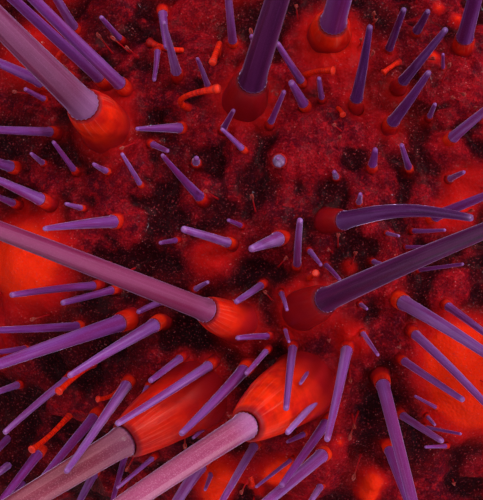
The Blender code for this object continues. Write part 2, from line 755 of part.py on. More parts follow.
def build():
    clear_scene()
    spine_skin = principled("purple_spines", SPINE_COLOUR, SPINE_ROUGHNESS)
    flesh = principled("red_skin", FLESH_COLOUR, FLESH_ROUGHNESS)
    membrane = principled("mouth_membrane", MEMBRANE_COLOUR, MEMBRANE_ROUGHNESS)
    enamel = principled("teeth", TOOTH_COLOUR, TOOTH_ROUGHNESS)
    thicket = lay_out_spines()
    for name, middle, width in areas():
        body = area_solid(name, middle, width, flesh)
        fuse(body, spine_objects(thicket.spines, name, spine_skin))
    disc = apical_disc(flesh)
    disc_spines(thicket)
    fuse(disc, spine_objects(thicket.spines, disc.name, spine_skin))
    peristome(membrane)
    for number in range(TOOTH_COUNT):
        tooth(number, enamel)


build()
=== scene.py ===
"""Looks of the whole purple-spined sea urchin, in metres, round the solid model.

The spines stand where the model has them, apart from small shifts of the photographed ones,
with finer ones among them. Each has a fluted shaft and a muscle foot, on one skin with tube
feet and small jawed organs.
"""
import math
import random
from dataclasses import dataclass

import bpy
import numpy as np
from mathutils import Matrix, Vector, kdtree, noise

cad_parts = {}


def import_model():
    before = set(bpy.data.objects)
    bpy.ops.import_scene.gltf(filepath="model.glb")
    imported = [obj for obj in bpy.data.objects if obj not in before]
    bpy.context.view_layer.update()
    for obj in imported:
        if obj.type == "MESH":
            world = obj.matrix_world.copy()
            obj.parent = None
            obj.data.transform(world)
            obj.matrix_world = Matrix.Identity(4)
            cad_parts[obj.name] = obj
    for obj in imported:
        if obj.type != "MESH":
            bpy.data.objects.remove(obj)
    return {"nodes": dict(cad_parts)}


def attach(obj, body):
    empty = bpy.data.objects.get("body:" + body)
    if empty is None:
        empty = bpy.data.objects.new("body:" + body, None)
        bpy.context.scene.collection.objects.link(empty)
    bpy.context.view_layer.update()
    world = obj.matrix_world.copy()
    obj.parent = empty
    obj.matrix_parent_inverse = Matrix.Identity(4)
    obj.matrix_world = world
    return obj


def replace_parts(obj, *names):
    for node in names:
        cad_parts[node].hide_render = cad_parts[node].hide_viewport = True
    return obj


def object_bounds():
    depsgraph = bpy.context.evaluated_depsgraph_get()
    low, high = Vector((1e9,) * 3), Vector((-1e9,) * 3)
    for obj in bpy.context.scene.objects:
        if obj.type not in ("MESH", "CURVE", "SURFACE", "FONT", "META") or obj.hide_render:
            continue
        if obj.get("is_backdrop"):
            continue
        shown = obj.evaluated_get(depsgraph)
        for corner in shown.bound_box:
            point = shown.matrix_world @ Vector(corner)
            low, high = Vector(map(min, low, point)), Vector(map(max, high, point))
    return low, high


# The shell
SHELL_RADIUS = 0.060
CROWN_HEIGHT = 0.034
UNDERSIDE_DEPTH = 0.024
UNDERSIDE_SQUARENESS = 0.8
MOUTH_ABOVE_FLOOR = 0.013
WAIST_Z = MOUTH_ABOVE_FLOOR + UNDERSIDE_DEPTH
JOINT_GAP = 0.0003
MERIDIAN_POINTS = 1441

# The ten meridional areas
INTERAMBULACRUM_WIDTH = math.radians(42)
AMBULACRUM_WIDTH = math.radians(30)
FIFTH_OF_A_TURN = math.radians(72)
FIRST_AREA_AZIMUTH = math.radians(-91.0)

# The apical disc, the peristome and the teeth
DISC_RADIUS = 0.010
PERISTOME_RADIUS = 0.022
TOOTH_COUNT = 5

# Primary spines by arc length from the apex: the row's place, spine length and shaft width
ROW_ARC = (0.0145, 0.022, 0.031, 0.041, 0.051, 0.061, 0.071, 0.081, 0.090, 0.099, 0.108, 0.117)
SIZE_ARC = (0.012, 0.022, 0.035, 0.085, 0.097, 0.108, 0.120)
SPINE_LENGTH = (0.017, 0.032, 0.048, 0.050, 0.036, 0.022, 0.016)
SPINE_WIDTH = (0.0015, 0.0020, 0.0024, 0.0024, 0.0021, 0.0018, 0.0016)
ROW_SPACING = 0.0105
ROW_STAGGER = 0.25
PLACE_JITTER = 0.06
ARC_JITTER = 0.0008
LENGTH_SPREAD = (0.86, 1.06)
WIDTH_SPREAD = (0.90, 1.08)
PRIMARY_TILT = math.radians(7)
UNDERSIDE_ARC = 0.088
UNDERSIDE_SPLAY = math.radians(14)
MOST_LEAN = math.radians(50)
MOST_STANDING = 0.056
REACH = 0.1060
FLOOR_CLEARANCE = 0.0020

# Secondary spines among them
SECONDARY_SPACING = 0.0050
SECONDARY_TRIES = 5200
SECONDARY_LENGTH = (0.24, 0.40)
SECONDARY_WIDTH = (0.0009, 0.0012)
SECONDARY_TILT = math.radians(15)
DISC_SPINE_LENGTH = 0.008
DISC_SPINE_WIDTH = 0.0010
DISC_SPINE_COUNT = 10
DISC_SPINE_PHASE = 0.33
DISC_SPINE_RING = 0.72

# Every spine: a broad muscle foot, a shaft and a blunt tip
BULB_SHARE = 1.60
TIP_SHARE = 0.36
SPINE_GAP = 0.0004
MOST_TRIES = 30
LEAST_SLIMNESS = 3
SINK = 1.1

# The photograph's view of the upper side, in its own 483 by 500 pixels
PHOTO_WIDTH = 483
PHOTO_HEIGHT = 500
PHOTO_MARGIN = 8
PIXELS_PER_METRE = 10700
FACING_PIXEL = (310, 270)
FACING_ANGLE = math.radians(43)
VIEW_DISTANCE = 0.120
VIEW_SAMPLES = 9
# Bands in which the photograph shows no skin: left, top, right and bottom
UNSEEN_BANDS = ((50, 45, 280, 150), (10, 140, 455, 225))

# The spines in the photograph: foot and aim as pixels, then the millimetres from the foot
# to the aim, the whole length, the shaft's width and the tip's width
SEEN_SPINES = {
    "left_long": ((237, 322), (0, 232), 31, 50, 2.0, 0.9),
    "lower_left_long": ((196, 396), (30, 500), 20, 46, 2.6, 1.0),
    "lower_middle_long": ((302, 387), (137, 500), 29, 48, 2.2, 1.0),
    "right_dark": ((302, 310), (483, 233), 28, 36, 2.1, 0.9),
    "right_bent": ((328, 221), (472, 218), 20, 20, 1.6, 0.6),
    "top_bright": ((330, 48), (339, 0), 8, 45, 2.3, 1.0),
    "top_right": ((461, 54), (472, 10), 7, 30, 1.5, 0.7),
    "top_left_broad": ((105, 127), (0, 20), 24, 50, 2.7, 1.0),
    "top_middle_dark": ((246, 100), (279, 0), 18, 46, 2.4, 1.1),
    "top_left_first": ((105, 83), (16, 0), 17, 34, 1.1, 0.6),
    "top_left_second": ((126, 90), (36, 0), 18, 34, 1.2, 0.6),
    "left_middle": ((131, 319), (-5, 366), 20, 24, 1.5, 0.7),
    "left_pale_tip": ((161, 321), (69, 376), 17, 17, 1.2, 0.5),
    "centre_left_slim": ((213, 363), (117, 424), 19, 19, 0.9, 0.5),
    "centre_lower": ((248, 366), (181, 434), 17, 17, 1.1, 0.5),
    "centre_short": ((293, 345), (286, 409), 14, 14, 0.75, 0.5),
    "centre_down": ((348, 345), (327, 440), 18, 18, 1.0, 0.5),
    "lower_right_tall": ((381, 378), (412, 499), 21, 27, 1.2, 0.7),
    "lower_right_small": ((387, 444), (407, 499), 9, 12, 0.9, 0.5),
    "right_middle": ((398, 299), (483, 353), 19, 25, 1.3, 0.6),
    "right_slim": ((412, 331), (483, 402), 17, 20, 0.85, 0.5),
    "right_short": ((401, 359), (463, 400), 13, 13, 0.7, 0.5),
    "bottom_middle": ((327, 451), (270, 499), 14, 20, 1.2, 0.7),
    "bottom_left": ((99, 411), (33, 490), 13, 13, 0.95, 0.5),
    "lower_left_tapered": ((130, 380), (66, 472), 18, 18, 1.0, 0.5),
    "upper_right_first": ((355, 106), (370, 26), 13, 13, 1.1, 0.5),
    "upper_right_second": ((399, 86), (446, 29), 12, 12, 1.0, 0.5),
    "upper_right_third": ((389, 127), (429, 72), 12, 12, 1.1, 0.5),
    "upper_middle": ((306, 108), (291, 82), 6, 6, 0.9, 0.6),
    "left_slim": ((98, 285), (11, 295), 14, 14, 0.75, 0.5),
    "left_slim_short": ((116, 289), (62, 303), 9, 9, 0.7, 0.5),
    "left_low_slim": ((82, 326), (-5, 330), 14, 16, 0.8, 0.5),
    "lower_left_slim": ((70, 377), (10, 428), 12, 13, 0.75, 0.5),
    "centre_left_short": ((232, 244), (183, 229), 10, 10, 0.85, 0.6),
    "upper_left_level": ((55, 132), (0, 130), 10, 15, 0.85, 0.6),
    "centre_left_small": ((183, 356), (150, 381), 8, 8, 0.7, 0.5),
    "bottom_left_broad": ((204, 460), (179, 499), 8, 15, 1.2, 0.6),
    "bottom_left_short": ((256, 443), (224, 498), 13, 15, 0.8, 0.5),
    "bottom_middle_slim": ((328, 388), (287, 433), 11, 11, 0.7, 0.5),
    "bottom_middle_broad": ((329, 419), (281, 486), 14, 14, 0.9, 0.5),
    "right_edge": ((445, 304), (483, 332), 9, 12, 0.75, 0.5),
    "lower_right_short": ((400, 414), (442, 441), 10, 10, 0.7, 0.5),
    "middle_lit": ((283, 237), (251, 249), 9, 9, 1.25, 0.6),
    "middle_upright": ((297, 266), (300, 220), 14, 14, 0.7, 0.5),
    "middle_left": ((263, 284), (236, 302), 8, 8, 0.65, 0.5),
    "upper_right_slim": ((388, 52), (404, 9), 9, 9, 0.75, 0.5),
    "upper_right_stub": ((415, 34), (428, 11), 6, 6, 0.8, 0.5),
    "top_slim": ((233, 45), (229, 0), 9, 17, 0.8, 0.5),
    "top_left_slim": ((76, 31), (58, 0), 7, 16, 0.9, 0.6),
}

SEED = 11

# Smaller spines that only this model has, written the same way. Most are in the photograph,
# and a few fill the frame's lower left corner, where the photograph shows none.
SMALL_SPINES = (
    ((28, 348), (0, 352), 5, 10, 0.55, 0.40), ((165, 300), (138, 312), 6, 6, 0.65, 0.45),
    ((194, 290), (208, 282), 4, 4, 0.50, 0.35), ((178, 240), (160, 243), 4, 4, 0.50, 0.35),
    ((149, 385), (136, 408), 5, 5, 0.55, 0.40), ((212, 472), (205, 490), 4, 4, 0.50, 0.30),
    ((314, 363), (300, 384), 6, 6, 0.50, 0.30), ((306, 433), (287, 442), 4, 4, 0.50, 0.30),
    ((292, 459), (256, 487), 8, 8, 0.40, 0.28), ((322, 484), (312, 499), 4, 7, 0.65, 0.40),
    ((425, 427), (461, 434), 7, 7, 0.35, 0.25), ((362, 332), (378, 355), 7, 7, 0.45, 0.30),
    ((427, 416), (435, 425), 3, 3, 0.35, 0.25), ((309, 250), (321, 265), 6, 6, 0.50, 0.32),
    ((325, 264), (340, 280), 6, 6, 0.45, 0.32), ((281, 292), (287, 310), 6, 6, 0.45, 0.32),
    ((285, 329), (289, 342), 4, 4, 0.38, 0.28), ((242, 226), (228, 220), 4, 4, 0.45, 0.32),
    ((372, 261), (390, 267), 5, 5, 0.45, 0.30), ((418, 270), (463, 264), 9, 9, 0.40, 0.28),
    ((412, 231), (445, 230), 7, 7, 0.42, 0.28), ((386, 233), (399, 236), 4, 4, 0.36, 0.26),
    ((405, 247), (432, 247), 6, 6, 0.34, 0.24), ((429, 118), (435, 104), 4, 4, 0.50, 0.35),
    ((443, 69), (443, 54), 4, 4, 0.35, 0.28), ((303, 84), (277, 43), 9, 9, 0.75, 0.50),
    ((322, 100), (319, 78), 5, 5, 0.55, 0.40), ((121, 40), (101, 17), 7, 7, 0.60, 0.40),
    ((46, 100), (25, 89), 5, 5, 0.55, 0.40), ((162, 8), (167, 48), 7, 7, 0.85, 0.60),
    ((150, 143), (168, 151), 4, 4, 0.60, 0.40), ((34, 77), (0, 64), 7, 9, 0.75, 0.50),
    ((44, 446), (14, 484), 6, 10, 1.00, 0.60), ((26, 452), (2, 470), 5, 8, 0.90, 0.60),
    ((52, 470), (30, 499), 6, 9, 0.90, 0.60), ((14, 432), (0, 447), 4, 8, 0.80, 0.55),
    ((37, 462), (12, 497), 6, 8, 0.70, 0.50), ((270, 336), (237, 338), 7, 7, 0.60, 0.45),
    ((268, 349), (246, 374), 6, 6, 0.55, 0.40), ((211, 422), (193, 438), 4, 4, 0.50, 0.32),
    ((155, 456), (117, 488), 7, 7, 0.50, 0.32), ((126, 452), (113, 499), 7, 8, 0.60, 0.40),
    ((96, 470), (81, 499), 6, 9, 0.85, 0.50), ((20, 384), (0, 391), 5, 8, 0.70, 0.50),
    ((448, 446), (425, 447), 4, 4, 0.40, 0.28), ((437, 408), (415, 396), 5, 5, 0.36, 0.26),
    ((360, 304), (367, 309), 3, 3, 0.40, 0.28),
)

# Tones of the photographed spines that show theirs well, on the scale of SHAFT_TONES. All the
# other spines draw one between the two ends of VIOLET_TONE.
VIOLET_TONE = (0.38, 0.58)
SEEN_TONES = {
    "left_long": 0.66,
    "lower_left_long": 1.0,
    "lower_middle_long": 0.90,
    "right_dark": 0.03,
    "right_bent": 0.16,
    "top_middle_dark": 0.05,
    "top_bright": 0.42,
    "top_right": 0.34,
    "top_left_broad": 0.75,
    "top_left_first": 0.44,
    "top_left_second": 0.44,
    "bottom_middle": 0.57,
    "right_middle": 0.55,
    "middle_lit": 0.58,
    "centre_left_slim": 0.54,
    "lower_left_tapered": 0.53,
    "centre_down": 0.53,
    "right_short": 0.53,
    "left_middle": 0.46,
    "bottom_left": 0.43,
    "upper_right_first": 0.26,
    "upper_right_second": 0.27,
    "upper_right_third": 0.31,
    "upper_right_slim": 0.26,
    "upper_right_stub": 0.29,
}
# Two feet that stand a little higher in the photograph than in the solid model
SEEN_FEET = {"top_bright": (330, 35), "top_right": (462, 48)}
# Height of a muscle foot, in shaft widths, where it isn't the usual one
SEEN_RIMS = {
    "lower_left_long": 3.5,
    "lower_middle_long": 5.2,
    "left_long": 2.4,
    "top_bright": 1.3,
    "top_middle_dark": 1.6,
}
# Sideways bend of a spine, in millimetres at its middle, upwards in the photograph
SEEN_BENDS = {"right_bent": 0.75, "left_long": 0.1, "lower_left_slim": 0.1}

# Large swellings in the photograph: middle, radius and height in millimetres, and redness.
# The last two are plain mounds that fill the frame's lower left corner.
SWELLINGS = (
    ((28, 268), 4.6, 2.2, 1.1), ((476, 392), 4.4, 2.0, 1.15), ((455, 352), 3.0, 1.2, 1.0),
    ((273, 476), 1.1, 1.0, 1.1), ((284, 466), 1.0, 1.0, 1.1), ((220, 474), 1.7, 1.2, 1.1),
    ((213, 494), 1.7, 1.2, 1.1), ((374, 484), 0.9, 1.2, 1.4), ((369, 497), 0.9, 1.1, 1.4),
    ((245, 484), 0.5, 0.5, 0.4), ((258, 494), 0.5, 0.5, 0.4), ((349, 330), 1.5, 1.1, 0.40),
    ((366, 348), 1.1, 0.8, 0.35), ((350, 266), 0.8, 0.7, 0.50), ((340, 440), 0.35, 0.5, 0.9),
    ((455, 212), 2.0, 0.9, 0.60), ((205, 258), 2.6, 0.9, 0.40), ((30, 55), 4.2, 1.8, 0.65),
    ((470, 180), 2.4, 1.0, 0.50), ((433, 57), 0.6, 0.6, 1.0), ((438, 9), 0.6, 0.6, 0.9),
    ((457, 19), 0.6, 0.6, 0.9), ((18, 446), 4.5, 2.4, 0.0), ((32, 462), 6.4, 4.2, 0.0),
)

# Darker and redder parts of the skin: middle, radius in millimetres and strength, which is
# negative where it is darker
SKIN_TINTS = (
    ((262, 335), 4.5, -1.0), ((195, 335), 3.5, -0.9), ((95, 312), 4.0, -1.0), ((40, 325), 4.0, -1.0),
    ((130, 345), 3.0, -0.6), ((300, 240), 3.0, -0.7), ((165, 240), 4.0, -0.6), ((25, 130), 5.0, -0.7),
    ((415, 430), 3.0, -0.35), ((350, 425), 3.2, 0.22), ((205, 490), 3.0, -0.7), ((110, 450), 4.0, -0.6),
    ((385, 355), 2.2, -0.6), ((440, 240), 4.0, 0.25), ((370, 290), 4.0, 0.2), ((345, 365), 3.0, 0.5),
    ((470, 375), 5.0, 1.0), ((25, 262), 5.0, 1.0), ((270, 480), 4.0, 0.8), ((365, 480), 3.5, 0.7),
    ((215, 255), 3.0, 0.6), ((335, 60), 5.0, 0.6), ((400, 110), 5.0, 0.5), ((205, 15), 6.0, 0.5),
    ((310, 290), 3.0, 0.6),
)

# Fine spines
FINE_SEED = 23
FINE_SPACING = 0.0031
FINE_TRIES = 16000
FINE_LENGTH = (0.0036, 0.0080)
FINE_WIDTH = (0.00050, 0.00085)
FINE_TILT = math.radians(20)
FINE_TIP_SHARE = 0.62
FINE_ATTEMPTS = 6
FINE_DISC_EDGE = 0.45

# The shaft's and the muscle foot's outlines: the foot's as shares of the rim's height and the
# shaft's width, the shaft's in widths above the rim and in tip widths below the tip
BROAD_WIDTH = 0.0016
BROAD_RIM = 2.1
BROAD_EASE = 3
SLIM_RIM = 1.25
MOST_HEAVY_RIM = 4.2
MOST_RIM = 0.36
SLIM_WIDTH = 0.00145
BASE_STATIONS = (-0.45, -0.08, 0.03, 0.13, 0.28, 0.50, 0.95)
BASE_RADII = (0.70, 0.92, 1.10, 1.12, 1.06, 1.01, 1.0)
TIP_STATIONS = (-0.85, -0.45, -0.20, -0.05, 0.0)
TIP_RADII = (1.0, 1.0, 0.93, 0.66, 0.24)
FOOT_HEIGHTS = (-0.42, -0.16, 0.06, 0.24, 0.42, 0.58, 0.72, 0.84, 0.93, 0.99, 1.0, 0.97)
BROAD_FOOT = (1.22, 1.02, 0.91, 0.86, 0.84, 0.81, 0.77, 0.72, 0.67, 0.61, 0.56, 0.50)
HEAVY_FOOT = (1.70, 1.58, 1.46, 1.36, 1.26, 1.15, 1.03, 0.91, 0.80, 0.70, 0.60, 0.52)
SLIM_FOOT = (0.86, 0.74, 0.68, 0.66, 0.65, 0.64, 0.63, 0.62, 0.60, 0.58, 0.55, 0.48)
FLUTE_DEPTH = 0.035
FLUTE_FADE = 4
FLUTE_LEAST = 0.25
MILLING_DEPTH = 0.030
FIBRE_DEPTH = 0.012
FIBRES_FROM = 0.5
BULGE = 0.06
SECOND_BULGE = 0.6
RIM_SPAN = (-1.0, 3.0)
LOOKS_SEED = 5
MOST_BEND = 0.006
BEND_TURN = (0.01, 0.02, 0.0)

# Spines of few sides have no flutes, and those of few rings have fewer rings in their feet too
FEW_SIDES = 10
FEW_RINGS = 10
FEW_STATIONS = (0, 2, 5, 7, 9, 10, 11)
FINE_STATIONS = (0, 3, 8, 10)
# Sides of a shaft and a foot, and rings of a shaft, by kind of spine
DETAIL = {"seen": (40, 16), "primary": (24, 14), "secondary": (14, 6), "fine": (7, 1)}
# Name, kinds, widest patch on the bake's map, and in how many sectors the shafts and feet come
SPINE_PIECES = (
    ("long", ("seen", "primary"), 0.024, 5, 2),
    ("short", ("secondary",), 0.014, 2, 1),
    ("fine", ("fine",), 0.008, 2, 1),
)

# The skin
SKIN_SEED = 31
SKIN_TURN_RADIUS = 0.052
SKIN_FINE = 0.00045
SKIN_COARSE = 0.0012
SKIN_EASE_ROWS = 8
SKIN_FINE_ARCS = (0.010, 0.090)
SKIN_FINE_AZIMUTHS = (math.radians(-140), math.radians(-48))
SKIN_END_GAP = 0.00012
SKIN_LEVEL = -0.00025
DISC_EDGE = (0.0085, 0.0115)
SHELL_FADE = 0.002
MEMBRANE_FADE = 0.001
SURFACE_REACH = 0.0004
SCATTER_JITTER = 0.38
LOBE_SPACING = 0.0021
LOBE_HEIGHT = 0.00032
LOBE_EDGE = (0.0, 0.9)
LOBE_LEAST = 0.3
LOBE_SPREAD = 1.1
WARP_SCALE = 420
WARP_SHIFTS = (0.0, 0.3, 0.7)
WARP = 0.0011
MOUND_SCALE = 230
MOUND_HEIGHT = 0.0013
SLOW_SCALE = 90
GRAIN_SCALE = 1100
GRAIN_HEIGHT = 0.00015
DISC_GRAIN = 0.00006
SWELLING_REACH = 0.7
FOOT_NEAR = 1.25
FOOT_CALM = 0.8
FOOT_SWELL = 0.30
FOOT_SWELL_REACH = 1.3
FOLD_COUNT = 40
FOLD_SWAY = 3
FOLD_HEIGHT = 0.00010
MEMBRANE_LUMP = 0.0003
MOUTH_PROFILE = (
    (0.0216, 0.0), (0.0185, -0.0003), (0.0145, 0.0001), (0.0110, -0.0004), (0.0085, -0.0010),
    (0.0070, -0.0014), (0.0058, -0.0015), (0.0050, -0.0010), (0.0047, 0.0002), (0.0046, 0.0016),
    (0.0040, 0.0022), (0.0, 0.0023),
)
# The apical disc's plates: their distance from the apex, where they start and end, and heights
LARGE_PLATE_RADIUS = 0.0061
SMALL_PLATE_RADIUS = 0.0086
LARGE_PLATE_EDGE = (0.0016, 0.0026)
SMALL_PLATE_EDGE = (0.0008, 0.0014)
DISC_MIDDLE_EDGE = (0.0024, 0.0034)
LARGE_PLATE_HEIGHT = 0.00055
SMALL_PLATE_HEIGHT = 0.0003
DISC_MIDDLE_DEPTH = 0.0002
PLATE_PORE_REACH = 0.0004
PLATE_PORE_DEPTH = 0.0007
VENT_REACH = 0.0008
VENT_DEPTH = 0.0010
# The rows of pores that the tube feet leave by
PORE_ROW = 0.34
PORE_SPACING = 0.0022
PORE_ROW_REACH = 0.0009
PORE_DEPTH = 0.0002
# The values that the skin's paint reads
GLOW_LARGE = 0.75
GLOW_SMALL = 0.3
GLOW_TINT = 0.45
# Strength of the painted shade in the skin's hollows, from the lobes, the mounds and a base level
HOLLOW_SHADE_LOBES = 0.30
HOLLOW_SHADE_MOUNDS = 2.2
HOLLOW_SHADE_LEVEL = 0.1
SLOW_LEVEL = 0.30
SLOW_SHARE = 1.6

# Tube feet, in the photograph: foot, pull and end as pixels, with the distances in millimetres
SEEN_TUBE_FEET = (
    ((71, 413), (48, 440), (31, 450), 4.0, 6.5),
    ((121, 386), (112, 400), (97, 399), 2.5, 4.0),
    ((399, 60), (391, 66), (383, 73), 1.6, 2.6),
    ((251, 489), (253, 483), (250, 476), 0.8, 1.5),
    ((148, 40), (170, 52), (195, 50), 3.0, 5.0),
    ((90, 365), (72, 378), (58, 392), 4.0, 6.5),
    ((303, 74), (318, 69), (334, 71), 2.5, 4.0),
    ((337, 105), (341, 110), (343, 115), 1.2, 2.0),
    ((309, 279), (313, 276), (316, 273), 1.5, 2.6),
)
TUBE_SEED = 41
TUBE_SPACING = 0.0046
TUBE_LENGTH = (0.0045, 0.0125)
TUBE_RADIUS = 0.00027
TUBE_SIDES = 9
TUBE_SUNK = 0.0006
TUBE_GAP = 0.00015
TUBE_FLOOR = 0.0022
TUBE_FROM_DISC = 0.006
TUBE_FROM_MEMBRANE = 0.002
TUBE_ROW_JITTER = 0.05
TUBE_ARC_JITTER = 0.3
TUBE_LEANS = ((-0.5, 0.9), (-0.7, 0.7))
TUBE_SWAYS = ((-0.4, 0.4), (-0.4, 0.4))
TUBE_PULL = 0.6
TUBE_SWAY = 0.5
TUBE_PROBE = 0.0004
TUBE_SPREAD = (0.8, 0.4)
TUBE_SHARES = (0.0, 0.04, 0.12, 0.22, 0.33, 0.44, 0.55, 0.66, 0.77, 0.87, 0.93, 0.965, 0.985, 1.0)
TUBE_OUTLINE = (1.9, 1.5, 1.15, 1.0, 0.92, 0.88, 0.88, 0.90, 0.95, 1.02, 1.15, 1.45, 1.42, 0.9)
TUBE_PATCH = 0.008
# Ten short ones on the membrane, in pairs round the mouth
MOUTH_FEET = 10
MOUTH_FOOT_INSET = 0.0100
MOUTH_FOOT_TURN = math.radians(11)
MOUTH_FOOT_REACH = 0.0030
MOUTH_FOOT_RISE = 0.8
MOUTH_FOOT_RUN = 0.7

# Small jawed organs on stalks
SEEN_JAWED = (
    ((279, 266), (287, 257), 3.5),
    ((272, 300), (264, 291), 2.6),
    ((352, 262), (356, 252), 2.6),
    ((238, 342), (233, 333), 2.4),
)
JAWED_SEED = 47
JAWED_COUNT = 480
JAWED_LENGTH = (0.0022, 0.0045)
JAWED_LEAN = 0.3
JAWED_FROM_EDGE = 0.002
JAWED_SIDES = 5
JAWED_STALK = 0.00008
JAWED_HEAD = 0.00015
JAWED_PATCH = 0.004
JAW_COUNT = 3
JAW_ROOT_APART = 1e-5
STALK_SHARES = (-0.12, 0.05, 0.30, 0.55, 0.74, 0.80)
STALK_OUTLINE = (1.5, 1.0, 0.8, 0.8, 0.9, 1.5)
JAW_SHARES = (0.76, 0.80, 0.86, 0.92, 0.97, 1.0)
JAW_SPREAD = (0.25, 0.50, 0.80, 0.85, 0.60, 0.25)
JAW_OUTLINE = (0.45, 0.62, 0.62, 0.48, 0.32, 0.14)

# The unwrap of the skin that places every root on the bake's maps, and each root's patch there
UNWRAP_RADIUS = 0.495
PATCH_SHAFT = 0.86
PATCH_CAP = 0.03
PATCH_ROOM = 0.96
PATCH_LEAST = 0.0012

# Shaft colours by tone, from very dark purple over violet to pink and brownish pink, as linear
# light: the main colour, the deeper one in its blotches and the pale one of its fine lines. The
# deeper and the pale ones also paint shade on one side and light on the other side of each shaft
SHAFT_TONES = (
    (0.0, (0.090, 0.008, 0.060), (0.040, 0.003, 0.028), (0.17, 0.026, 0.14)),
    (0.26, (0.090, 0.012, 0.120), (0.050, 0.005, 0.065), (0.30, 0.13, 0.42)),
    (0.42, (0.17, 0.024, 0.20), (0.16, 0.008, 0.10), (0.31, 0.12, 0.43)),
    (0.57, (0.24, 0.064, 0.31), (0.21, 0.018, 0.15), (0.46, 0.25, 0.60)),
    (0.66, (0.20, 0.016, 0.070), (0.14, 0.008, 0.040), (0.34, 0.085, 0.19)),
    (0.75, (0.17, 0.022, 0.078), (0.11, 0.010, 0.042), (0.44, 0.17, 0.32)),
    (0.88, (0.37, 0.068, 0.160), (0.28, 0.036, 0.10), (0.66, 0.30, 0.42)),
    (1.0, (0.22, 0.028, 0.054), (0.15, 0.014, 0.034), (0.48, 0.18, 0.22)),
)
CHANCE_SHIFT = 97.0
# Scales of the noise in the colours, in waves a metre
SHAFT_GRAINS = 8500.0
MUSCLE_PATCHES = 420.0
SKIN_MOTTLES = 300.0
SKIN_FINE_MOTTLES = 1500.0
SKIN_GRAINS = 5200.0
SKIN_SPECKS = 3000.0
TOOTH_LINES = 900.0
FLOOR_GRAINS = 60.0
# The colours, as linear light
# Pale lavender of the roots and their milled edge, also used for a painted highlight near the root
ROOT_LAVENDER_AND_HIGHLIGHT = (0.42, 0.19, 0.45, 1.0)
PALE_TIP = (0.46, 0.26, 0.44, 1.0)
RING_MAROON = (0.10, 0.003, 0.012, 1.0)
SHEEN_LAVENDER = (0.80, 0.60, 1.0, 1.0)
FLESH_ORANGE = (0.86, 0.026, 0.003, 1.0)
FLESH_RED = (0.46, 0.005, 0.004, 1.0)
FLESH_PALE = (0.80, 0.12, 0.08, 1.0)
SKIN_RED = (0.22, 0.003, 0.008, 1.0)
SKIN_BRIGHT = (0.42, 0.006, 0.012, 1.0)
SKIN_DARK = (0.085, 0.002, 0.008, 1.0)
# Near black, for the skin's dark mottles and grains and for the painted shade in its hollows
SKIN_BLACK_AND_SHADE = (0.012, 0.0010, 0.0025, 1.0)
SPECK = (0.55, 0.16, 0.16, 1.0)
GRAIN_PINK = (0.42, 0.045, 0.060, 1.0)
MEMBRANE_RED = (0.26, 0.030, 0.030, 1.0)
MEMBRANE_PALE = (0.42, 0.10, 0.08, 1.0)
PLATE_RED = (0.22, 0.03, 0.05, 1.0)
JAW_RED = (0.34, 0.02, 0.015, 1.0)
JAW_PALE = (0.36, 0.09, 0.08, 1.0)
TOOTH_PALE = (0.78, 0.73, 0.62, 1.0)
TOOTH_STAIN = (0.52, 0.42, 0.30, 1.0)
TOOTH_STRETCH = (1.0, 1.0, 5.0)
TOOTH_ROOT = (0.0095, 0.0135)
TOOTH_EDGE = 0.00018
FLOOR_PALE = (0.66, 0.65, 0.64, 1.0)
FLOOR_SHADE = (0.645, 0.635, 0.625, 1.0)

# The stage: a pale floor under soft light from all round, with a broad key from the upper
# right, two more broad lights and two small ones for bright edges and glints
FLOOR_HALF = 5.0
LIGHTS = (
    ("key", (0.55, 0.25, 1.55), 0.90, 15.5, (1.0, 0.95, 0.92)),
    ("fill", (1.10, -1.05, 0.75), 1.00, 5.0, (0.84, 0.84, 1.0)),
    ("side", (-1.35, -0.35, 0.95), 0.90, 5.0, (1.0, 0.93, 0.90)),
    ("edge", (0.72, -0.20, 0.70), 0.10, 4.0, (0.90, 0.86, 1.0)),
    ("glint", (-0.30, 0.35, 1.20), 0.05, 1.2, (1.0, 1.0, 1.0)),
)
WORLD_COLOUR = (0.90, 0.89, 1.0, 1.0)
WORLD_STRENGTH = 0.45
NEAREST_SEEN = 0.005


@dataclass
class Spine:
    """One spine: where it stands, how it runs and how it looks."""

    foot: np.ndarray
    direction: np.ndarray
    length: float
    width: float
    tip_width: float
    stands: bool = False
    kind: str = ""
    tone: float = 0.5
    chance: float = 0.0
    normal: np.ndarray = None
    bend: np.ndarray = None
    rim: float = 0.0

    @property
    def tip(self):
        return self.foot + self.direction * self.length


# The shell's surface

def shell_meridian(angle):
    """Radius and height of the shell at an angle from the apex, 0, to the mouth, pi."""
    sine = np.sin(angle)
    cosine = np.abs(np.cos(angle))
    above = angle <= math.pi / 2
    radius = np.where(above, sine, sine ** UNDERSIDE_SQUARENESS) * SHELL_RADIUS
    fall = UNDERSIDE_DEPTH * cosine ** UNDERSIDE_SQUARENESS
    height = WAIST_Z + np.where(above, CROWN_HEIGHT * cosine, -fall)
    return radius, height


MERIDIAN_RADIUS, MERIDIAN_HEIGHT = shell_meridian(np.linspace(0, math.pi, MERIDIAN_POINTS))
MERIDIAN_STEPS = np.hypot(np.diff(MERIDIAN_RADIUS), np.diff(MERIDIAN_HEIGHT))
MERIDIAN_ARC = np.concatenate(([0.0], np.cumsum(MERIDIAN_STEPS)))
WAIST_INDEX = MERIDIAN_POINTS // 2
TOP_ARC = float(np.interp(DISC_RADIUS, MERIDIAN_RADIUS[:WAIST_INDEX], MERIDIAN_ARC[:WAIST_INDEX]))
BOTTOM_ARC = float(
    np.interp(-PERISTOME_RADIUS, -MERIDIAN_RADIUS[WAIST_INDEX:], MERIDIAN_ARC[WAIST_INDEX:])
)


def profile_at(arc):
    """Radius and height of the shell at an arc length from the apex."""
    radius = np.interp(arc, MERIDIAN_ARC, MERIDIAN_RADIUS)
    height = np.interp(arc, MERIDIAN_ARC, MERIDIAN_HEIGHT)
    return float(radius), float(height)


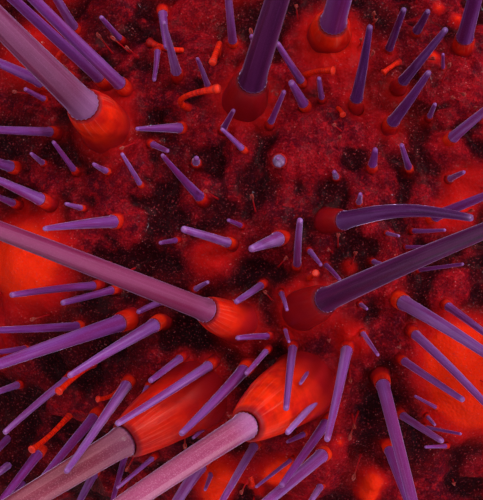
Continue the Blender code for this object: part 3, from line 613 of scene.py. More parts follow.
def frame_at(arc, azimuth, reach=0.0005):
    """Point, outward normal and down-the-shell tangent of the surface."""
    radius, height = profile_at(arc)
    radius_before, height_before = profile_at(arc - reach)
    radius_after, height_after = profile_at(arc + reach)
    outward = np.array([math.cos(azimuth), math.sin(azimuth), 0.0])
    upward = np.array([0.0, 0.0, 1.0])
    tangent = outward * (radius_after - radius_before) + upward * (height_after - height_before)
    tangent /= np.linalg.norm(tangent)
    around = np.array([-math.sin(azimuth), math.cos(azimuth), 0.0])
    return outward * radius + upward * height, np.cross(tangent, around), tangent


def areas():
    """Middle azimuth and width of each of the ten meridional areas."""
    for number in range(5):
        middle = FIRST_AREA_AZIMUTH + number * FIFTH_OF_A_TURN
        yield middle, INTERAMBULACRUM_WIDTH
        yield middle + FIFTH_OF_A_TURN / 2, AMBULACRUM_WIDTH


def in_area(azimuth):
    """The middle and width of the area that an azimuth falls in, and its turn from the middle."""
    for middle, width in areas():
        turn = (azimuth - middle + math.pi) % (2 * math.pi) - math.pi
        if abs(turn) <= width / 2:
            return middle, width, turn
    raise ValueError("the ten areas leave no gap")


def off_the_seams(point, room):
    """The point moved round the shell until its area's two seams are at least room away."""
    radius = math.hypot(point[0], point[1])
    middle, width, turn = in_area(math.atan2(point[1], point[0]))
    most = width / 2 - math.asin(min(0.9, room / radius))
    turn = max(-most, min(most, turn)) if most > 0 else 0.0
    azimuth = middle + turn
    return np.array([radius * math.cos(azimuth), radius * math.sin(azimuth), point[2]])


# The photograph's view

def unit(vector):
    return vector / np.linalg.norm(vector)


class PhotoView:
    """The view of the photograph: from a pixel to a ray or a point on the shell, and back."""

    def __init__(self):
        half_axes = np.array([SHELL_RADIUS, SHELL_RADIUS, CROWN_HEIGHT])
        self.half_axes = half_axes
        self.waist = np.array([0.0, 0.0, WAIST_Z])
        ellipse = np.array([0.0, -math.sin(FACING_ANGLE), math.cos(FACING_ANGLE)])
        facing = self.waist + ellipse * half_axes
        normal = unit(ellipse / half_axes)
        self.eye = facing + normal * VIEW_DISTANCE
        across = np.array([1.0, 0.0, 0.0])
        upwards = np.cross(across, -normal)
        right_of_middle = (FACING_PIXEL[0] - PHOTO_WIDTH / 2) / PIXELS_PER_METRE
        below_middle = (FACING_PIXEL[1] - PHOTO_HEIGHT / 2) / PIXELS_PER_METRE
        target = facing - across * right_of_middle + upwards * below_middle
        self.forward = unit(target - self.eye)
        self.right = unit(np.cross(self.forward, np.array([0.0, 0.0, 1.0])))
        self.up = np.cross(self.right, self.forward)
        self.focal = PIXELS_PER_METRE * VIEW_DISTANCE

    def ray(self, pixel):
        across = (pixel[0] - PHOTO_WIDTH / 2) / self.focal
        upwards = (PHOTO_HEIGHT / 2 - pixel[1]) / self.focal
        return self.forward + self.right * across + self.up * upwards

    def shell_travel(self, pixel):
        """How far along a pixel's ray the shell is met, or infinity."""
        start = (self.eye - self.waist) / self.half_axes
        step = self.ray(pixel) / self.half_axes
        square, cross, rest = step @ step, start @ step, start @ start - 1
        inside = cross * cross - square * rest
        return (-cross - math.sqrt(inside)) / square if inside > 0 else math.inf

    def shell_point(self, pixel):
        return self.eye + self.ray(pixel) * self.shell_travel(pixel)

    def pixel(self, point):
        offset = point - self.eye
        depth = offset @ self.forward
        across = offset @ self.right / depth * self.focal
        upwards = offset @ self.up / depth * self.focal
        return PHOTO_WIDTH / 2 + across, PHOTO_HEIGHT / 2 - upwards

    def direction(self, foot, aim, distance):
        """Direction of a spine that crosses the aim's ray at a distance from its foot."""
        ray = self.ray(aim)
        offset = self.eye - foot
        square, cross = ray @ ray, ray @ offset
        inside = cross * cross - square * (offset @ offset - distance * distance)
        travel = (-cross - math.sqrt(max(inside, 0.0))) / square
        return unit(self.eye + ray * travel - foot)

    def crosses(self, spine):
        """Whether any part of a spine shows in the photograph's frame, in front of the shell."""
        for share in np.linspace(0, 1, VIEW_SAMPLES):
            point = spine.foot + spine.direction * spine.length * share
            across, down = self.pixel(point)
            inside_width = -PHOTO_MARGIN < across < PHOTO_WIDTH + PHOTO_MARGIN
            if inside_width and -PHOTO_MARGIN < down < PHOTO_HEIGHT + PHOTO_MARGIN:
                depth = (point - self.eye) @ self.forward
                if depth < self.shell_travel((across, down)) + JOINT_GAP:
                    return True
        return False

    def hidden(self, foot):
        """Whether the photograph hides the skin at a spine's foot."""
        across, down = self.pixel(foot)
        return any(
            left < across < right and top < down < bottom for left, top, right, bottom in UNSEEN_BANDS
        )


# The spines' layout

class Thicket:
    """The spines set so far, with a test that keeps a new one clear of them."""

    def __init__(self):
        self.spines = []
        self.starts = np.empty((0, 3))
        self.runs = np.empty((0, 3))
        self.radii = np.empty((0, 2))

    def add(self, spine):
        self.spines.append(spine)
        self.starts = np.vstack([self.starts, spine.foot])
        self.runs = np.vstack([self.runs, spine.direction * spine.length])
        radii = [spine.width * BULB_SHARE / 2, spine.tip_width / 2]
        self.radii = np.vstack([self.radii, radii])

    def clear_of(self, spine, gap=SPINE_GAP):
        """Whether a spine, as a tapered capsule, keeps the gap to every other."""
        if not self.spines:
            return True
        run = spine.direction * spine.length
        offset = spine.foot - self.starts
        own_square = run @ run
        other_square = np.einsum("ij,ij->i", self.runs, self.runs)
        own_offset = offset @ run
        other_offset = np.einsum("ij,ij->i", self.runs, offset)
        both = self.runs @ run
        spread = np.maximum(own_square * other_square - both * both, 1e-16)
        own = np.clip((both * other_offset - own_offset * other_square) / spread, 0, 1)
        other = np.clip((both * own + other_offset) / other_square, 0, 1)
        own = np.clip((both * other - own_offset) / own_square, 0, 1)
        between = offset + own[:, None] * run - other[:, None] * self.runs
        own_radius = spine.width * BULB_SHARE / 2 * (1 - own) + spine.tip_width / 2 * own
        other_radius = self.radii[:, 0] * (1 - other) + self.radii[:, 1] * other
        distance = np.linalg.norm(between, axis=1)
        return bool(np.all(distance - own_radius - other_radius > gap))


def tilted(normal, tangent, lean, turn):
    """The normal leant by an angle towards a compass turn about it."""
    around = np.cross(normal, tangent)
    side = tangent * math.cos(turn) + around * math.sin(turn)
    return normal * math.cos(lean) + side * math.sin(lean)


def seam_room(width, lean):
    """Distance that a spine's foot keeps from a seam, so that its whole root stays inside."""
    root = width * BULB_SHARE / 2
    return root / math.cos(lean) + width * SINK * math.sin(lean) + JOINT_GAP * 2


def cut_to_size(spine):
    """Shorten a spine to the box round the animal and to the floor, or refuse it."""
    tip = spine.tip
    for axis in (0, 1):
        if abs(tip[axis]) > REACH:
            spine.length = (REACH - abs(spine.foot[axis])) / abs(spine.direction[axis])
            tip = spine.tip
    if spine.direction[2] < 0:
        to_floor = spine.foot[2] / -spine.direction[2]
        if spine.stands:
            spine.length = to_floor
            if to_floor > MOST_STANDING or max(abs(spine.tip[0]), abs(spine.tip[1])) > REACH:
                return False
        elif tip[2] < FLOOR_CLEARANCE:
            spine.length = (spine.foot[2] - FLOOR_CLEARANCE) / -spine.direction[2]
    else:
        spine.stands = False
    return spine.length > spine.width * LEAST_SLIMNESS


def photo_spine(view, foot, row):
    """A spine that starts at a point of the shell and runs as a row of the tables says."""
    aim, to_aim, length, width, tip_width = row
    direction = view.direction(foot, aim, to_aim / 1000)
    return Spine(foot, direction, length / 1000, width / 1000, tip_width / 1000)


def seen_spines(view, thicket):
    """The photographed spines as the solid model has them, with their roots inside one area."""
    for foot, *row in SEEN_SPINES.values():
        on_shell = view.shell_point(foot)
        spine = photo_spine(view, on_shell, row)
        normal = unit((on_shell - view.waist) / view.half_axes ** 2)
        lean = math.acos(min(1.0, float(normal @ spine.direction)))
        inside = off_the_seams(on_shell, seam_room(spine.width, lean))
        thicket.add(photo_spine(view, inside, row))


def grow(thicket, view, draw, arc, azimuth, length, width, tilt, stands=False, hidden_only=False):
    """Set one spine near the surface normal, leaning as it must to keep clear."""
    point, normal, tangent = frame_at(arc, azimuth)
    splay = -UNDERSIDE_SPLAY if arc > UNDERSIDE_ARC else 0.0
    for attempt in range(MOST_TRIES):
        lean = abs(draw.gauss(0.0, tilt)) * (1 + attempt / MOST_TRIES)
        direction = tilted(normal, tangent, lean, draw.uniform(0, 2 * math.pi))
        direction = unit(direction + tangent * math.sin(splay))
        whole_lean = math.acos(min(1.0, float(normal @ direction)))
        if whole_lean > MOST_LEAN:
            continue
        foot = off_the_seams(point, seam_room(width, whole_lean))
        spine = Spine(foot, direction, length, width, width * TIP_SHARE, stands)
        if not cut_to_size(spine):
            continue
        if view.crosses(spine) and not (hidden_only and view.hidden(foot)):
            continue
        if thicket.clear_of(spine):
            thicket.add(spine)
            return True
    return False


def primary_rows(view, thicket, draw):
    """Rows of long spines round the shell, evenly set within each area."""
    for row, arc in enumerate(ROW_ARC):
        radius = profile_at(arc)[0]
        for middle, width in areas():
            count = max(1, round(radius * width / ROW_SPACING))
            for place in range(count):
                stagger = ROW_STAGGER if row % 2 else -ROW_STAGGER
                share = (place + 0.5 + stagger * (count > 1)) / count - 0.5
                azimuth = middle + width * (share + draw.uniform(-PLACE_JITTER, PLACE_JITTER) / count)
                here = arc + draw.uniform(-ARC_JITTER, ARC_JITTER)
                length = np.interp(here, SIZE_ARC, SPINE_LENGTH) * draw.uniform(*LENGTH_SPREAD)
                spine_width = np.interp(here, SIZE_ARC, SPINE_WIDTH) * draw.uniform(*WIDTH_SPREAD)
                stands = arc > UNDERSIDE_ARC and (row + place) % 2 == 0
                grow(thicket, view, draw, here, azimuth, length, spine_width, PRIMARY_TILT, stands)


def free_places(thicket, draw, tries, first, last, spacing):
    """Random arcs and azimuths, evenly spread over the shell, a spacing away from every foot."""
    for _ in range(tries):
        arc = draw.uniform(first, last)
        keep = draw.random() < profile_at(arc)[0] / SHELL_RADIUS
        azimuth = draw.uniform(-math.pi, math.pi)
        if not keep:
            continue
        point = frame_at(arc, azimuth)[0]
        if np.min(np.linalg.norm(thicket.starts - point, axis=1)) >= spacing:
            yield arc, azimuth


def secondary_scatter(view, thicket, draw):
    """Shorter spines in the room that the long ones leave, evenly scattered."""
    first, last = TOP_ARC + SECONDARY_SPACING / 2, BOTTOM_ARC - SECONDARY_SPACING / 2
    for arc, azimuth in free_places(thicket, draw, SECONDARY_TRIES, first, last, SECONDARY_SPACING):
        length = np.interp(arc, SIZE_ARC, SPINE_LENGTH) * draw.uniform(*SECONDARY_LENGTH)
        width = draw.uniform(*SECONDARY_WIDTH)
        grow(thicket, view, draw, arc, azimuth, length, width, SECONDARY_TILT, hidden_only=True)


def lay_out_spines():
    """Every spine of the ten areas, the photographed ones first."""
    draw = random.Random(SEED)
    view = PhotoView()
    thicket = Thicket()
    seen_spines(view, thicket)
    primary_rows(view, thicket, draw)
    secondary_scatter(view, thicket, draw)
    return thicket


def disc_spines(thicket):
    """A ring of short spines on the apical disc's outer plates."""
    for number in range(DISC_SPINE_COUNT):
        azimuth = 2 * math.pi * (number + DISC_SPINE_PHASE) / DISC_SPINE_COUNT
        point, normal, _ = frame_at(DISC_RADIUS * DISC_SPINE_RING, azimuth)
        spine = Spine(point, normal, DISC_SPINE_LENGTH, DISC_SPINE_WIDTH, DISC_SPINE_WIDTH * TIP_SHARE)
        if thicket.clear_of(spine):
            thicket.add(spine)


def stand_as_seen(view, thicket):
    """Set the photographed spines exactly where the photograph has them, near a seam too."""
    for number, (name, (foot, aim, to_aim, *_)) in enumerate(SEEN_SPINES.items()):
        spine = thicket.spines[number]
        spine.foot = view.shell_point(SEEN_FEET.get(name, foot))
        spine.direction = view.direction(spine.foot, aim, to_aim / 1000)
        thicket.starts[number] = spine.foot
        thicket.runs[number] = spine.direction * spine.length


def small_spines(view, thicket):
    """The smaller spines that the solid model leaves to the visual model."""
    for foot, *row in SMALL_SPINES:
        spine = photo_spine(view, view.shell_point(foot), row)
        spine.kind = "secondary"
        thicket.add(spine)


def fine_scatter(view, thicket):
    """Fine short spines in the room that is left, on the shell and the apical disc."""
    draw = random.Random(FINE_SEED)
    first, last = DISC_RADIUS * FINE_DISC_EDGE, BOTTOM_ARC - FINE_SPACING / 2
    for arc, azimuth in free_places(thicket, draw, FINE_TRIES, first, last, FINE_SPACING):
        point, normal, tangent = frame_at(arc, azimuth)
        width = draw.uniform(*FINE_WIDTH)
        length = draw.uniform(*FINE_LENGTH)
        for attempt in range(FINE_ATTEMPTS):
            lean = abs(draw.gauss(0.0, FINE_TILT))
            direction = tilted(normal, tangent, lean, draw.uniform(0, 2 * math.pi))
            spine = Spine(point, direction, length, width, width * FINE_TIP_SHARE, kind="fine")
            if not cut_to_size(spine) or view.crosses(spine) and not view.hidden(point):
                continue
            if thicket.clear_of(spine):
                thicket.add(spine)
                break


# Meshes made of many rings

def unit_rows(vectors):
    return vectors / np.linalg.norm(vectors, axis=-1, keepdims=True)


def frames_across(directions):
    """Two unit vectors across each direction that turn right-handed about it."""
    steep = np.abs(directions[:, 2:3]) < 0.9
    helper = np.where(steep, (0.0, 0.0, 1.0), (1.0, 0.0, 0.0))
    across = unit_rows(np.cross(directions, helper))
    return across, np.cross(directions, across)


def skin_place(points):
    """Where points lie on the unwrap of the skin, seen from the apex and opened out flat."""
    points = np.atleast_2d(points)
    azimuth = np.arctan2(points[:, 1], points[:, 0])
    radius = np.hypot(points[:, 0], points[:, 1])
    upper = np.interp(radius, MERIDIAN_RADIUS[:WAIST_INDEX], MERIDIAN_ARC[:WAIST_INDEX])
    lower = np.interp(-radius, -MERIDIAN_RADIUS[WAIST_INDEX:], MERIDIAN_ARC[WAIST_INDEX:])
    arc = np.where(points[:, 2] > WAIST_Z, upper, lower)
    return unwrapped(arc, azimuth)


def unwrapped(arc, azimuth):
    spread = UNWRAP_RADIUS * arc / SKIN_ARC[-1]
    return np.stack([0.5 + spread * np.cos(azimuth), 0.5 + spread * np.sin(azimuth)], axis=-1)


class Growth:
    """Many tubes of rings, gathered as one mesh with its maps and point values."""

    def __init__(self):
        self.count = 0
        kinds = ("points", "corners", "sizes", "spine_map", "places", "owner")
        self.parts = {kind: [] for kind in kinds}
        self.values = {}
        self.roots = []

    def add_tubes(self, points, along, roots, **values):
        """Closed tubes: points by item, ring and side, and how far along each ring is."""
        items, rings, sides = points.shape[:3]
        index = self.count + np.arange(items * rings * sides).reshape(items, rings, sides)
        after = np.roll(index, -1, axis=2)
        quads = np.stack([index[:, :-1], after[:, :-1], after[:, 1:], index[:, 1:]], axis=-1)
        step = np.arange(sides) / sides
        around = np.stack([step, step + 1 / sides, step + 1 / sides, step], axis=-1)
        around = np.broadcast_to(around, quads.shape)
        low, high = along[:, :-1, None], along[:, 1:, None]
        rise = np.broadcast_to(np.stack([low, low, high, high], axis=-1), quads.shape)
        owner = np.broadcast_to(np.arange(items)[:, None, None, None] + len(self.roots), quads.shape)
        across_patch = around - 0.5
        up_patch = (rise - 0.5) * PATCH_SHAFT
        self.add_faces(quads.reshape(-1, 4), around, rise, across_patch, up_patch, owner)
        turn = 2 * math.pi * step
        for ring, order, end in ((0, -1, -0.5), (rings - 1, 1, 0.5)):
            cap = index[:, ring, ::order]
            angle = np.broadcast_to(turn[::order], cap.shape)
            middle = end * (1 + PATCH_SHAFT) / 2
            across_cap = np.cos(angle) * PATCH_CAP
            up_cap = middle + np.sin(angle) * PATCH_CAP
            owner = np.broadcast_to(np.arange(items)[:, None] + len(self.roots), cap.shape)
            rise = np.broadcast_to(along[:, ring, None], cap.shape)
            self.add_faces(cap, np.full(cap.shape, 0.5), rise, across_cap, up_cap, owner)
        self.parts["points"].append(points.reshape(-1, 3))
        for name, value in values.items():
            whole = np.broadcast_to(value, (items, rings, sides)).reshape(-1)
            self.values.setdefault(name, []).append(whole)
        self.count += points.size // 3
        self.roots.extend(roots)

    def add_faces(self, faces, around, rise, across_patch, up_patch, owner):
        self.parts["corners"].append(faces.reshape(-1))
        self.parts["sizes"].append(np.full(len(faces), faces.shape[-1]))
        self.parts["spine_map"].append(np.stack([around.ravel(), rise.ravel()], axis=-1))
        self.parts["places"].append(np.stack([across_patch.ravel(), up_patch.ravel()], axis=-1))
        self.parts["owner"].append(owner.ravel())

    def patches(self, widest):
        """Each tube's patch on the skin's unwrap, as large as its neighbours allow."""
        places = skin_place(np.array(self.roots))
        apart = np.empty(len(places))
        for number, place in enumerate(places):
            gaps = np.max(np.abs(places - place), axis=1)
            gaps[number] = np.inf
            apart[number] = gaps.min() if len(places) > 1 else widest
        return places, np.clip(apart * PATCH_ROOM, PATCH_LEAST, widest)

    def piece(self, name, material, slot, widest):
        whole = {key: np.concatenate(value) for key, value in self.parts.items()}
        places, widths = self.patches(widest)
        owner = whole["owner"]
        bake = places[owner] + whole["places"] * widths[owner][:, None]
        low = bake.min(axis=0)
        bake = (bake - low) / max((bake.max(axis=0) - low).max(), 1e-6)
        maps = {"SpineMap": whole["spine_map"], "OFBake": bake}
        values = {key: np.concatenate(value) for key, value in self.values.items()}
        faces = whole["corners"], whole["sizes"]
        return mesh_piece(name, whole["points"], faces, maps, values, material, slot)


def mesh_piece(name, points, faces, maps, values, material, slot):
    """A smooth mesh that rides on the model's one body."""
    corners, sizes = faces
    mesh = bpy.data.meshes.new(name)
    mesh.vertices.add(len(points))
    mesh.vertices.foreach_set("co", np.ascontiguousarray(points, np.float32).ravel())
    mesh.loops.add(len(corners))
    mesh.loops.foreach_set("vertex_index", np.ascontiguousarray(corners, np.int32))
    mesh.polygons.add(len(sizes))
    starts = np.concatenate(([0], np.cumsum(sizes)[:-1]))
    mesh.polygons.foreach_set("loop_start", starts.astype(np.int32))
    mesh.polygons.foreach_set("use_smooth", np.ones(len(sizes), bool))
    mesh.update(calc_edges=True)
    for map_name, places in maps.items():
        layer = mesh.uv_layers.new(name=map_name)
        layer.data.foreach_set("uv", np.ascontiguousarray(places, np.float32).ravel())
    for value_name, value in values.items():
        attribute = mesh.attributes.new(value_name, "FLOAT", "POINT")
        attribute.data.foreach_set("value", np.ascontiguousarray(value, np.float32))
    mesh.materials.append(material)
    item = bpy.data.objects.new(name, mesh)
    bpy.context.scene.collection.objects.link(item)
    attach(item, "root")
    return item


# Spines and their muscle feet

def column(spines, name, axes=0):
    """One value of every spine as an array, with further axes for rings and sides."""
    values = np.array([getattr(spine, name) for spine in spines])
    return values.reshape(values.shape + (1,) * axes)


def as_arrays(spines):
    """The spines' sizes and directions as arrays, with the height of the foot's rim."""
    group = {name: column(spines, name) for name in ("foot", "direction", "normal", "bend")}
    group |= {name: column(spines, name, 1) for name in ("length", "width", "tip_width")}
    group |= {name: column(spines, name, 2) for name in ("tone", "chance")}
    over_slim = (group["width"] - SLIM_WIDTH) / (BROAD_WIDTH - SLIM_WIDTH)
    broad = np.clip(over_slim / BROAD_EASE, 0.0, 1.0)
    own = column(spines, "rim", 1)
    rim = np.where(own > 0, own, SLIM_RIM + (BROAD_RIM - SLIM_RIM) * broad) * group["width"]
    group["broad"] = broad
    group["heavy"] = np.clip((own - BROAD_RIM) / (MOST_HEAVY_RIM - BROAD_RIM), 0.0, 1.0)
    group["rim"] = np.minimum(rim, group["length"] * MOST_RIM)
    return group


def ring_points(centres, directions, radii, waves):
    """Points of rings across the directions; waves swell the radius side by side."""
    across, along = frames_across(directions)
    turn = (2 * math.pi * np.arange(waves.shape[-1]) / waves.shape[-1])[:, None]
    circle = across[:, None, None] * np.cos(turn) + along[:, None, None] * np.sin(turn)
    points = centres[:, :, None] + circle * (radii[:, :, None] * waves)[..., None]
    points[..., 2] = np.maximum(points[..., 2], 0.0)
    return points


def side_waves(depth, sides):
    """Ridge and groove in turn round a ring, as deep as each ring says."""
    return 1 + depth[:, :, None] * np.where(np.arange(sides) % 2, -1.0, 1.0)


def add_shafts(growth, spines, sides, ring_count):
    """Fluted shafts: a milled base above the muscle foot, a taper and a blunt tip."""
    group = as_arrays(spines)
    width, tip, length, rim = group["width"], group["tip_width"], group["length"], group["rim"]
    step = 2 if sides < FEW_SIDES else 1
    base = rim + np.array(BASE_STATIONS)[::step] * width
    end = length + np.array(TIP_STATIONS)[::step] * tip
    share = np.linspace(0, 1, ring_count + 2)[1:-1]
    middle = base[:, -1:] + (end[:, :1] - base[:, -1:]) * share
    heights = np.hstack([base, middle, end])
    travel = np.clip((heights - rim) / (length - rim), 0.0, 1.0)
    outline = np.concatenate([BASE_RADII[::step], np.ones(ring_count), TIP_RADII[::step]])
    radii = (width + (tip - width) * travel) / 2 * outline
    depth = np.full(heights.shape, FLUTE_DEPTH) * np.clip((1 - travel) * FLUTE_FADE, FLUTE_LEAST, 1)
    # The two rings at the rim are milled, those inside the foot and at the tip are round
    depth[:, 2:4] = MILLING_DEPTH
    depth[:, :2] = 0.0
    depth[:, -3:] = 0.0
    depth *= sides >= FEW_SIDES
    bend = group["bend"][:, None] * np.sin(math.pi * travel)[..., None]
    centres = group["foot"][:, None] + group["direction"][:, None] * heights[..., None] + bend
    points = ring_points(centres, group["direction"], radii, side_waves(depth, sides))
    above_rim = np.clip((heights - rim) / width, *RIM_SPAN)[..., None]
    growth.add_tubes(
        points, travel, [spine.foot for spine in spines],
        tone=group["tone"], chance=group["chance"], rim=above_rim, thick=width[..., None] * 1000,
    )


def foot_stations(sides, ring_count):
    """Which of a foot's rings a spine of this detail has."""
    if sides < FEW_SIDES:
        return list(FINE_STATIONS)
    return list(FEW_STATIONS if ring_count < FEW_RINGS else range(len(FOOT_HEIGHTS)))


def add_feet(growth, spines, sides, ring_count):
    """Muscle feet: bulbs that are sunk in the skin and end in a fibrous collar at the rim."""
    group = as_arrays(spines)
    width, rim, broad = group["width"], group["rim"], group["broad"]
    stations = foot_stations(sides, ring_count)
    share, slim, full, heavy = (
        np.array(outline)[stations] for outline in (FOOT_HEIGHTS, SLIM_FOOT, BROAD_FOOT, HEAVY_FOOT)
    )
    outline = (1 - broad) * slim + broad * full
    outline = outline + group["heavy"] * (heavy - outline)
    heights = rim * share
    lift = group["direction"][:, None] * np.maximum(heights, 0.0)[..., None]
    sunk = group["normal"][:, None] * np.minimum(heights, 0.0)[..., None]
    turn = 2 * math.pi * np.arange(sides) / sides
    chance = group["chance"] * 2 * math.pi
    swell = np.sin(math.pi * np.clip(share, 0, 1))[None, :, None]
    waves = 1 + BULGE * swell * (np.cos(turn + chance) + SECOND_BULGE * np.cos(2 * turn + 3 * chance))
    depth = np.where(share > FIBRES_FROM, FIBRE_DEPTH, 0.0) * (sides >= FEW_SIDES)
    waves = waves * side_waves(np.broadcast_to(depth, heights.shape), sides)
    centres = group["foot"][:, None] + lift + sunk
    points = ring_points(centres, group["direction"], width * outline, waves)
    growth.add_tubes(
        points, np.broadcast_to(np.linspace(0, 1, len(share)), heights.shape),
        [spine.foot for spine in spines],
        tone=group["tone"], chance=group["chance"],
        rise=np.broadcast_to(share, heights.shape)[..., None], thick=width[..., None] * 1000,
    )


def sector_of(foot, count):
    """Which of a number of equal sectors of the shell a foot lies in, counted from 1."""
    turn = math.atan2(foot[1], foot[0]) - FIRST_AREA_AZIMUTH + FIFTH_OF_A_TURN / 2
    return int(turn % (2 * math.pi) / (2 * math.pi) * count) + 1


def give_looks(view, thicket):
    """Each spine's kind, tone, bend and the skin's normal at its foot."""
    draw = random.Random(LOOKS_SEED)
    names = list(SEEN_SPINES)
    for number, spine in enumerate(thicket.spines):
        spine.normal = skin_normal(spine.foot)
        spine.chance = draw.random()
        spine.tone = draw.uniform(*VIOLET_TONE)
        side = np.cross(spine.direction, spine.normal + np.array(BEND_TURN))
        spine.bend = unit(side) * draw.uniform(-1, 1) * MOST_BEND * spine.length
        if number < len(names):
            name = names[number]
            spine.kind = "seen"
            spine.tone = SEEN_TONES.get(name, spine.tone)
            spine.rim = SEEN_RIMS.get(name, 0.0)
            if name in SEEN_BENDS:
                upwards = unit(view.up - spine.direction * (view.up @ spine.direction))
                spine.bend = upwards * SEEN_BENDS[name] / 1000
        elif spine.kind == "":
            spine.kind = "primary" if spine.width > BROAD_WIDTH else "secondary"


def skin_normal(point):
    """The smooth shell's outward normal near a point on it."""
    depth = CROWN_HEIGHT if point[2] > WAIST_Z else UNDERSIDE_DEPTH
    half_axes = np.array([SHELL_RADIUS, SHELL_RADIUS, depth])
    return unit((point - np.array([0.0, 0.0, WAIST_Z])) / half_axes ** 2)


def spine_pieces(spines, shaft_paint, foot_paint):
    """The shafts and the feet, by length and sector."""
    for label, kinds, widest, shaft_sectors, foot_sectors in SPINE_PIECES:
        chosen = [spine for spine in spines if spine.kind in kinds]
        for add, ending, sectors, paint, slot in (
            (add_shafts, "spines", shaft_sectors, shaft_paint, "spines"),
            (add_feet, "spine_feet", foot_sectors, foot_paint, "flesh"),
        ):
            for sector in range(1, sectors + 1):
                growth = Growth()
                for kind in kinds:
                    own = [s for s in chosen if s.kind == kind and sector_of(s.foot, sectors) == sector]
                    if own:
                        add(growth, own, *DETAIL[kind])
                number = f"_{sector}" if sectors > 1 else ""
                growth.piece(f"{label}_{ending}{number}", paint, slot, widest)


# The skin

def whole_meridian():
    """Arc, radius and height from the apex over the shell and the membrane into the mouth."""
    on_shell = MERIDIAN_ARC < BOTTOM_ARC
    edge = profile_at(BOTTOM_ARC)[1]
    mouth = np.array(MOUTH_PROFILE)
    radius = np.concatenate([MERIDIAN_RADIUS[on_shell], mouth[:, 0]])
    height = np.concatenate([MERIDIAN_HEIGHT[on_shell], mouth[:, 1] + edge])
    arc = np.concatenate(([0.0], np.cumsum(np.hypot(np.diff(radius), np.diff(height)))))
    return arc, radius, height


SKIN_ARC, SKIN_RADIUS, SKIN_HEIGHT = whole_meridian()


def stepped(start, stop, fine_start, fine_stop, fine, coarse):
    """Values from start to stop, close together in the fine stretch and eased round it."""
    values = [start]
    while values[-1] < stop:
        outside = max(fine_start - values[-1], values[-1] - fine_stop, 0.0)
        ease = min(1.0, outside / (coarse * SKIN_EASE_ROWS))
        values.append(values[-1] + fine + (coarse - fine) * ease)
    values[-1] = stop
    return np.array(values)


def surface(arc, azimuth):
    """Points and outward normals of the smooth skin at arcs and azimuths."""
    radius, height = np.interp(arc, SKIN_ARC, SKIN_RADIUS), np.interp(arc, SKIN_ARC, SKIN_HEIGHT)
    before, after = arc - SURFACE_REACH, arc + SURFACE_REACH
    run = np.interp(after, SKIN_ARC, SKIN_RADIUS) - np.interp(before, SKIN_ARC, SKIN_RADIUS)
    rise = np.interp(after, SKIN_ARC, SKIN_HEIGHT) - np.interp(before, SKIN_ARC, SKIN_HEIGHT)
    size = np.maximum(np.hypot(run, rise), 1e-9)
    cosine, sine = np.cos(azimuth), np.sin(azimuth)
    points = np.stack([radius * cosine, radius * sine, height], axis=-1)
    normals = np.stack([-rise / size * cosine, -rise / size * sine, run / size], axis=-1)
    return points, normals


def scattered(spacing, draw):
    """Points about a spacing apart all over the skin, in jittered rows."""
    found = []
    for arc in np.arange(spacing / 2, SKIN_ARC[-1], spacing):
        radius = float(np.interp(arc, SKIN_ARC, SKIN_RADIUS))
        count = max(3, round(2 * math.pi * radius / spacing))
        first = draw.uniform(0, 2 * math.pi)
        for place in range(count):
            turn, shift = (draw.uniform(-SCATTER_JITTER, SCATTER_JITTER) for _ in range(2))
            azimuth = first + 2 * math.pi * (place + turn) / count
            here = np.clip(arc + shift * spacing, 0, SKIN_ARC[-1])
            found.append(surface(here, azimuth)[0])
    return np.array(found)


def tree_of(points):
    tree = kdtree.KDTree(len(points))
    for number, point in enumerate(points):
        tree.insert(point, number)
    tree.balance()
    return tree


def smooth_step(value, low, high):
    share = np.clip((value - low) / (high - low), 0.0, 1.0)
    return share * share * (3 - 2 * share)


def cells(points, spacing, draw):
    """How far each point is inside its nearest cell, and that cell's own random number."""
    centres = scattered(spacing, draw)
    chance = np.array([draw.random() for _ in centres])
    tree = tree_of(centres)
    inside = np.empty(len(points))
    own = np.empty(len(points))
    for number, point in enumerate(points):
        (_, first, near), (_, _, far) = tree.find_n(point, 2)
        inside[number] = (far - near) / spacing
        own[number] = chance[first]
    return inside, own


def nearness(points, middles, reaches, amounts, neighbours):
    """The highest of the bells round some middles at each point, each with its reach and height."""
    tree = tree_of(middles)
    highest = np.zeros(len(points))
    for number, point in enumerate(points):
        for _, index, distance in tree.find_n(point, neighbours):
            bell = amounts[index] * math.exp(-((distance / reaches[index]) ** 2))
            highest[number] = max(highest[number], bell)
    return highest


def bells(points, view, places):
    """The sum of bells at places in the photograph, each written as pixel, reach and height."""
    total = np.zeros(len(points))
    for pixel, reach, amount in places:
        distance = np.linalg.norm(points - view.shell_point(pixel), axis=1)
        total += amount * np.exp(-((distance / (reach / 1000)) ** 2))
    return total


def rough(points, scale, octaves=1):
    """Smooth random values, about -1 to 1, that change over 1 / scale metres."""
    return np.array([
        sum(noise.noise(Vector(point) * scale * 2 ** octave) / 2 ** octave for octave in range(octaves))
        for point in points
    ])


